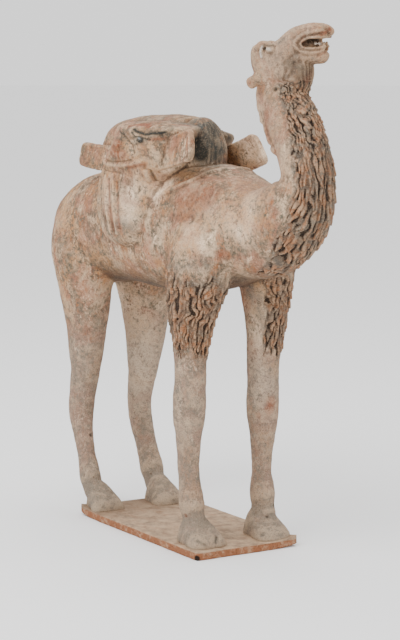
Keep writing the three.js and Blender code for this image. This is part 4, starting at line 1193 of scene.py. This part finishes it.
def slab_clay():
    """Grey-beige slip brushed along the slab, and bare orange clay on its rim."""
    s = Shader("slab_clay")
    streak = s.noise(9, 6, 0.6, 0.2, s.stretched((0.12, 1, 1)))
    colour = s.mix(s.band(streak, 0.35, 0.65, 0.5, 1.0), SLIP_GREY, SLIP)
    colour = s.mix(s.band(s.noise(16, 6, 0.7), 0.3, 0.66) * 0.75, colour, SLIP_LIGHT)
    colour = s.mix(s.band(s.noise(20, 7, 0.75), 0.54, 0.66) * 0.25, colour, CLAY)
    colour = s.mix(s.band(s.noise(3, 4, 0.7), 0.58, 0.74) * 0.5, colour, EARTH_AND_SHADE)
    # Darker towards the rear of the slab
    colour = s.mix(s.band(s.axis(0), -20.0, -150.0) * 0.5, colour, EARTH_AND_SHADE)
    rim = s.band(s.axis(2), 9.2, 10.8, 1.0, 0.0)
    colour = s.mix(rim, colour, s.mix(s.band(s.noise(9, 6, 0.7), 0.46, 0.66), RIM, FUR_PALE))
    colour = s.mix(rim * s.band(s.noise(2.6, 4, 0.7), 0.55, 0.66) * 0.8, colour, CUT_SHADE_AND_CHIP)
    colour = s.mix(s.spot((166, -82, 3), 4.5, 0.3), colour, CUT_SHADE_AND_CHIP)
    height = streak * 0.5 + s.noise(2, 4, 0.7) * 0.5
    return s.finish(colour, 0.9, height, 0.4, 1.2)


def settings():
    return bpy.context.scene.camel_settings


class CamelSettings(bpy.types.PropertyGroup):
    """Sizes and light that a user would change."""

    grain: bpy.props.FloatProperty(
        name="Clay grain", description="Edge of the voxels that fuse the clay, in metres",
        default=0.0012, min=0.0008, max=0.01, subtype="DISTANCE", unit="LENGTH", precision=4)
    triangles: bpy.props.IntProperty(
        name="Triangles", description="Triangles that the finished figure keeps",
        default=198000, min=20000, max=199000)
    slab_grain: bpy.props.FloatProperty(
        name="Slab grain", description="Grid step of the slab, in metres",
        default=0.0022, min=0.001, max=0.02, subtype="DISTANCE", unit="LENGTH", precision=4)
    floor_colour: bpy.props.FloatVectorProperty(
        name="Floor", description="Colour of the studio floor",
        default=(0.95, 0.95, 0.95), size=3, min=0, max=1, subtype="COLOR")
    key_power: bpy.props.FloatProperty(
        name="Key light", description="Power of the large soft light", default=42.0, min=0, unit="POWER")
    view_height: bpy.props.FloatProperty(
        name="Aim height", description="Height that the camera aims at",
        default=0.306, subtype="DISTANCE", unit="LENGTH")


class CAMEL_OT_figure(bpy.types.Operator):
    """Models the camel and its load as one body of fired clay"""

    bl_idname = "camel.figure"
    bl_label = "Camel figure"

    def execute(self, context):
        options = settings()
        voxel = options.grain / MM * 1
        piece = fuse_camel(voxel, options.triangles)
        paint_values(piece)
        piece.data.materials.append(painted_clay())
        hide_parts("camel")
        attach(piece, "root")
        return {"FINISHED"}


class CAMEL_OT_slab(bpy.types.Operator):
    """Models the hand-cut slab under the feet"""

    bl_idname = "camel.slab"
    bl_label = "Slab"

    def execute(self, context):
        piece = new_object("slab", new_mesh("slab", *slab_shell(settings().slab_grain / MM)))
        piece.data.shade_smooth()
        piece.data.materials.append(slab_clay())
        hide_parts("base_slab")
        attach(piece, "root")
        return {"FINISHED"}


CAMERA_AZIMUTH, CAMERA_ELEVATION = math.radians(58.6), math.radians(7.6)
CAMERA_AIM = (0.0109, 0.0179)
CAMERA_REACH = 3.0
CAMERA_LENS = 118.1


def look_at(thing, target):
    """Turns a camera or lamp so that its -Z points at the target and its Y stays up."""
    away = thing.location - target
    thing.rotation_euler = away.to_track_quat("Z", "Y").to_euler()


class CAMEL_OT_stage(bpy.types.Operator):
    """Lays the pale floor, sets the soft lights and places the camera"""

    bl_idname = "camel.stage"
    bl_label = "Stage"

    def execute(self, context):
        from mathutils import Vector

        options = settings()
        scene = context.scene
        turn = 2 * np.pi * np.arange(96) / 96
        disc = np.stack([30000 * np.cos(turn), 30000 * np.sin(turn), 0 * turn - 0.2], -1)
        floor = new_object("floor", new_mesh("floor", disc, np.arange(96)[None, :]))
        s = Shader("floor_paper")
        surface = s.node("ShaderNodeBsdfPrincipled", None, {"Base Color": (*options.floor_colour, 1), "Roughness": 0.9})
        s.node("ShaderNodeOutputMaterial", None, {"Surface": surface.outputs["BSDF"]})
        floor.data.materials.append(s.material)

        world = bpy.data.worlds.new("studio")
        world.use_nodes = True
        world.node_tree.nodes["Background"].inputs["Color"].default_value = (1, 1, 1, 1)
        world.node_tree.nodes["Background"].inputs["Strength"].default_value = 1.35
        scene.world = world

        back = Vector((math.sin(CAMERA_AZIMUTH) * math.cos(CAMERA_ELEVATION),
                       -math.cos(CAMERA_AZIMUTH) * math.cos(CAMERA_ELEVATION), math.sin(CAMERA_ELEVATION)))
        aim = Vector((*CAMERA_AIM, options.view_height))
        camera = bpy.data.objects.new("camera", bpy.data.cameras.new("camera"))
        camera.data.lens = CAMERA_LENS
        camera.data.sensor_width = 36
        camera.location = aim + back * CAMERA_REACH
        scene.collection.objects.link(camera)
        look_at(camera, aim)
        scene.camera = camera

        side = Vector((back.y, -back.x, 0)).normalized()
        up = Vector((0, 0, 1))
        lamps = [("key", aim + back * 1.2 + side * 1.0 + up * 1.7, 1.6, options.key_power),
                 ("fill", aim + back * 1.8 - side * 1.8 + up * 0.6, 1.8, options.key_power * 0.08),
                 ("top", aim - back * 0.6 + up * 2.2, 1.6, options.key_power * 0.38)]
        for name, where, size, power in lamps:
            lamp = bpy.data.objects.new(name, bpy.data.lights.new(name, "AREA"))
            lamp.data.size = size
            lamp.data.energy = power
            lamp.location = where
            scene.collection.objects.link(lamp)
            look_at(lamp, aim)
        return {"FINISHED"}


class CAMEL_PT_sidebar(bpy.types.Panel):
    """Lists the steps that dress the camel"""

    bl_idname = "CAMEL_PT_sidebar"
    bl_label = "Terracotta camel"
    bl_space_type = "VIEW_3D"
    bl_region_type = "UI"
    bl_category = "Camel"

    def draw(self, context):
        options = context.scene.camel_settings
        for name in ("grain", "triangles", "slab_grain", "floor_colour", "key_power", "view_height"):
            self.layout.prop(options, name)
        for operator in OPERATORS:
            self.layout.operator(operator.bl_idname)


OPERATORS = (CAMEL_OT_figure, CAMEL_OT_slab, CAMEL_OT_stage)
CLASSES = (CamelSettings, *OPERATORS, CAMEL_PT_sidebar)


def register():
    for kind in CLASSES:
        bpy.utils.register_class(kind)
    bpy.types.Scene.camel_settings = bpy.props.PointerProperty(type=CamelSettings)


def unregister():
    del bpy.types.Scene.camel_settings
    for kind in reversed(CLASSES):
        bpy.utils.unregister_class(kind)


def main():
    """Builds every piece."""
    register()
    bpy.ops.camel.figure()
    bpy.ops.camel.slab()
    bpy.ops.camel.stage()


if __name__ == "__main__":
    main()
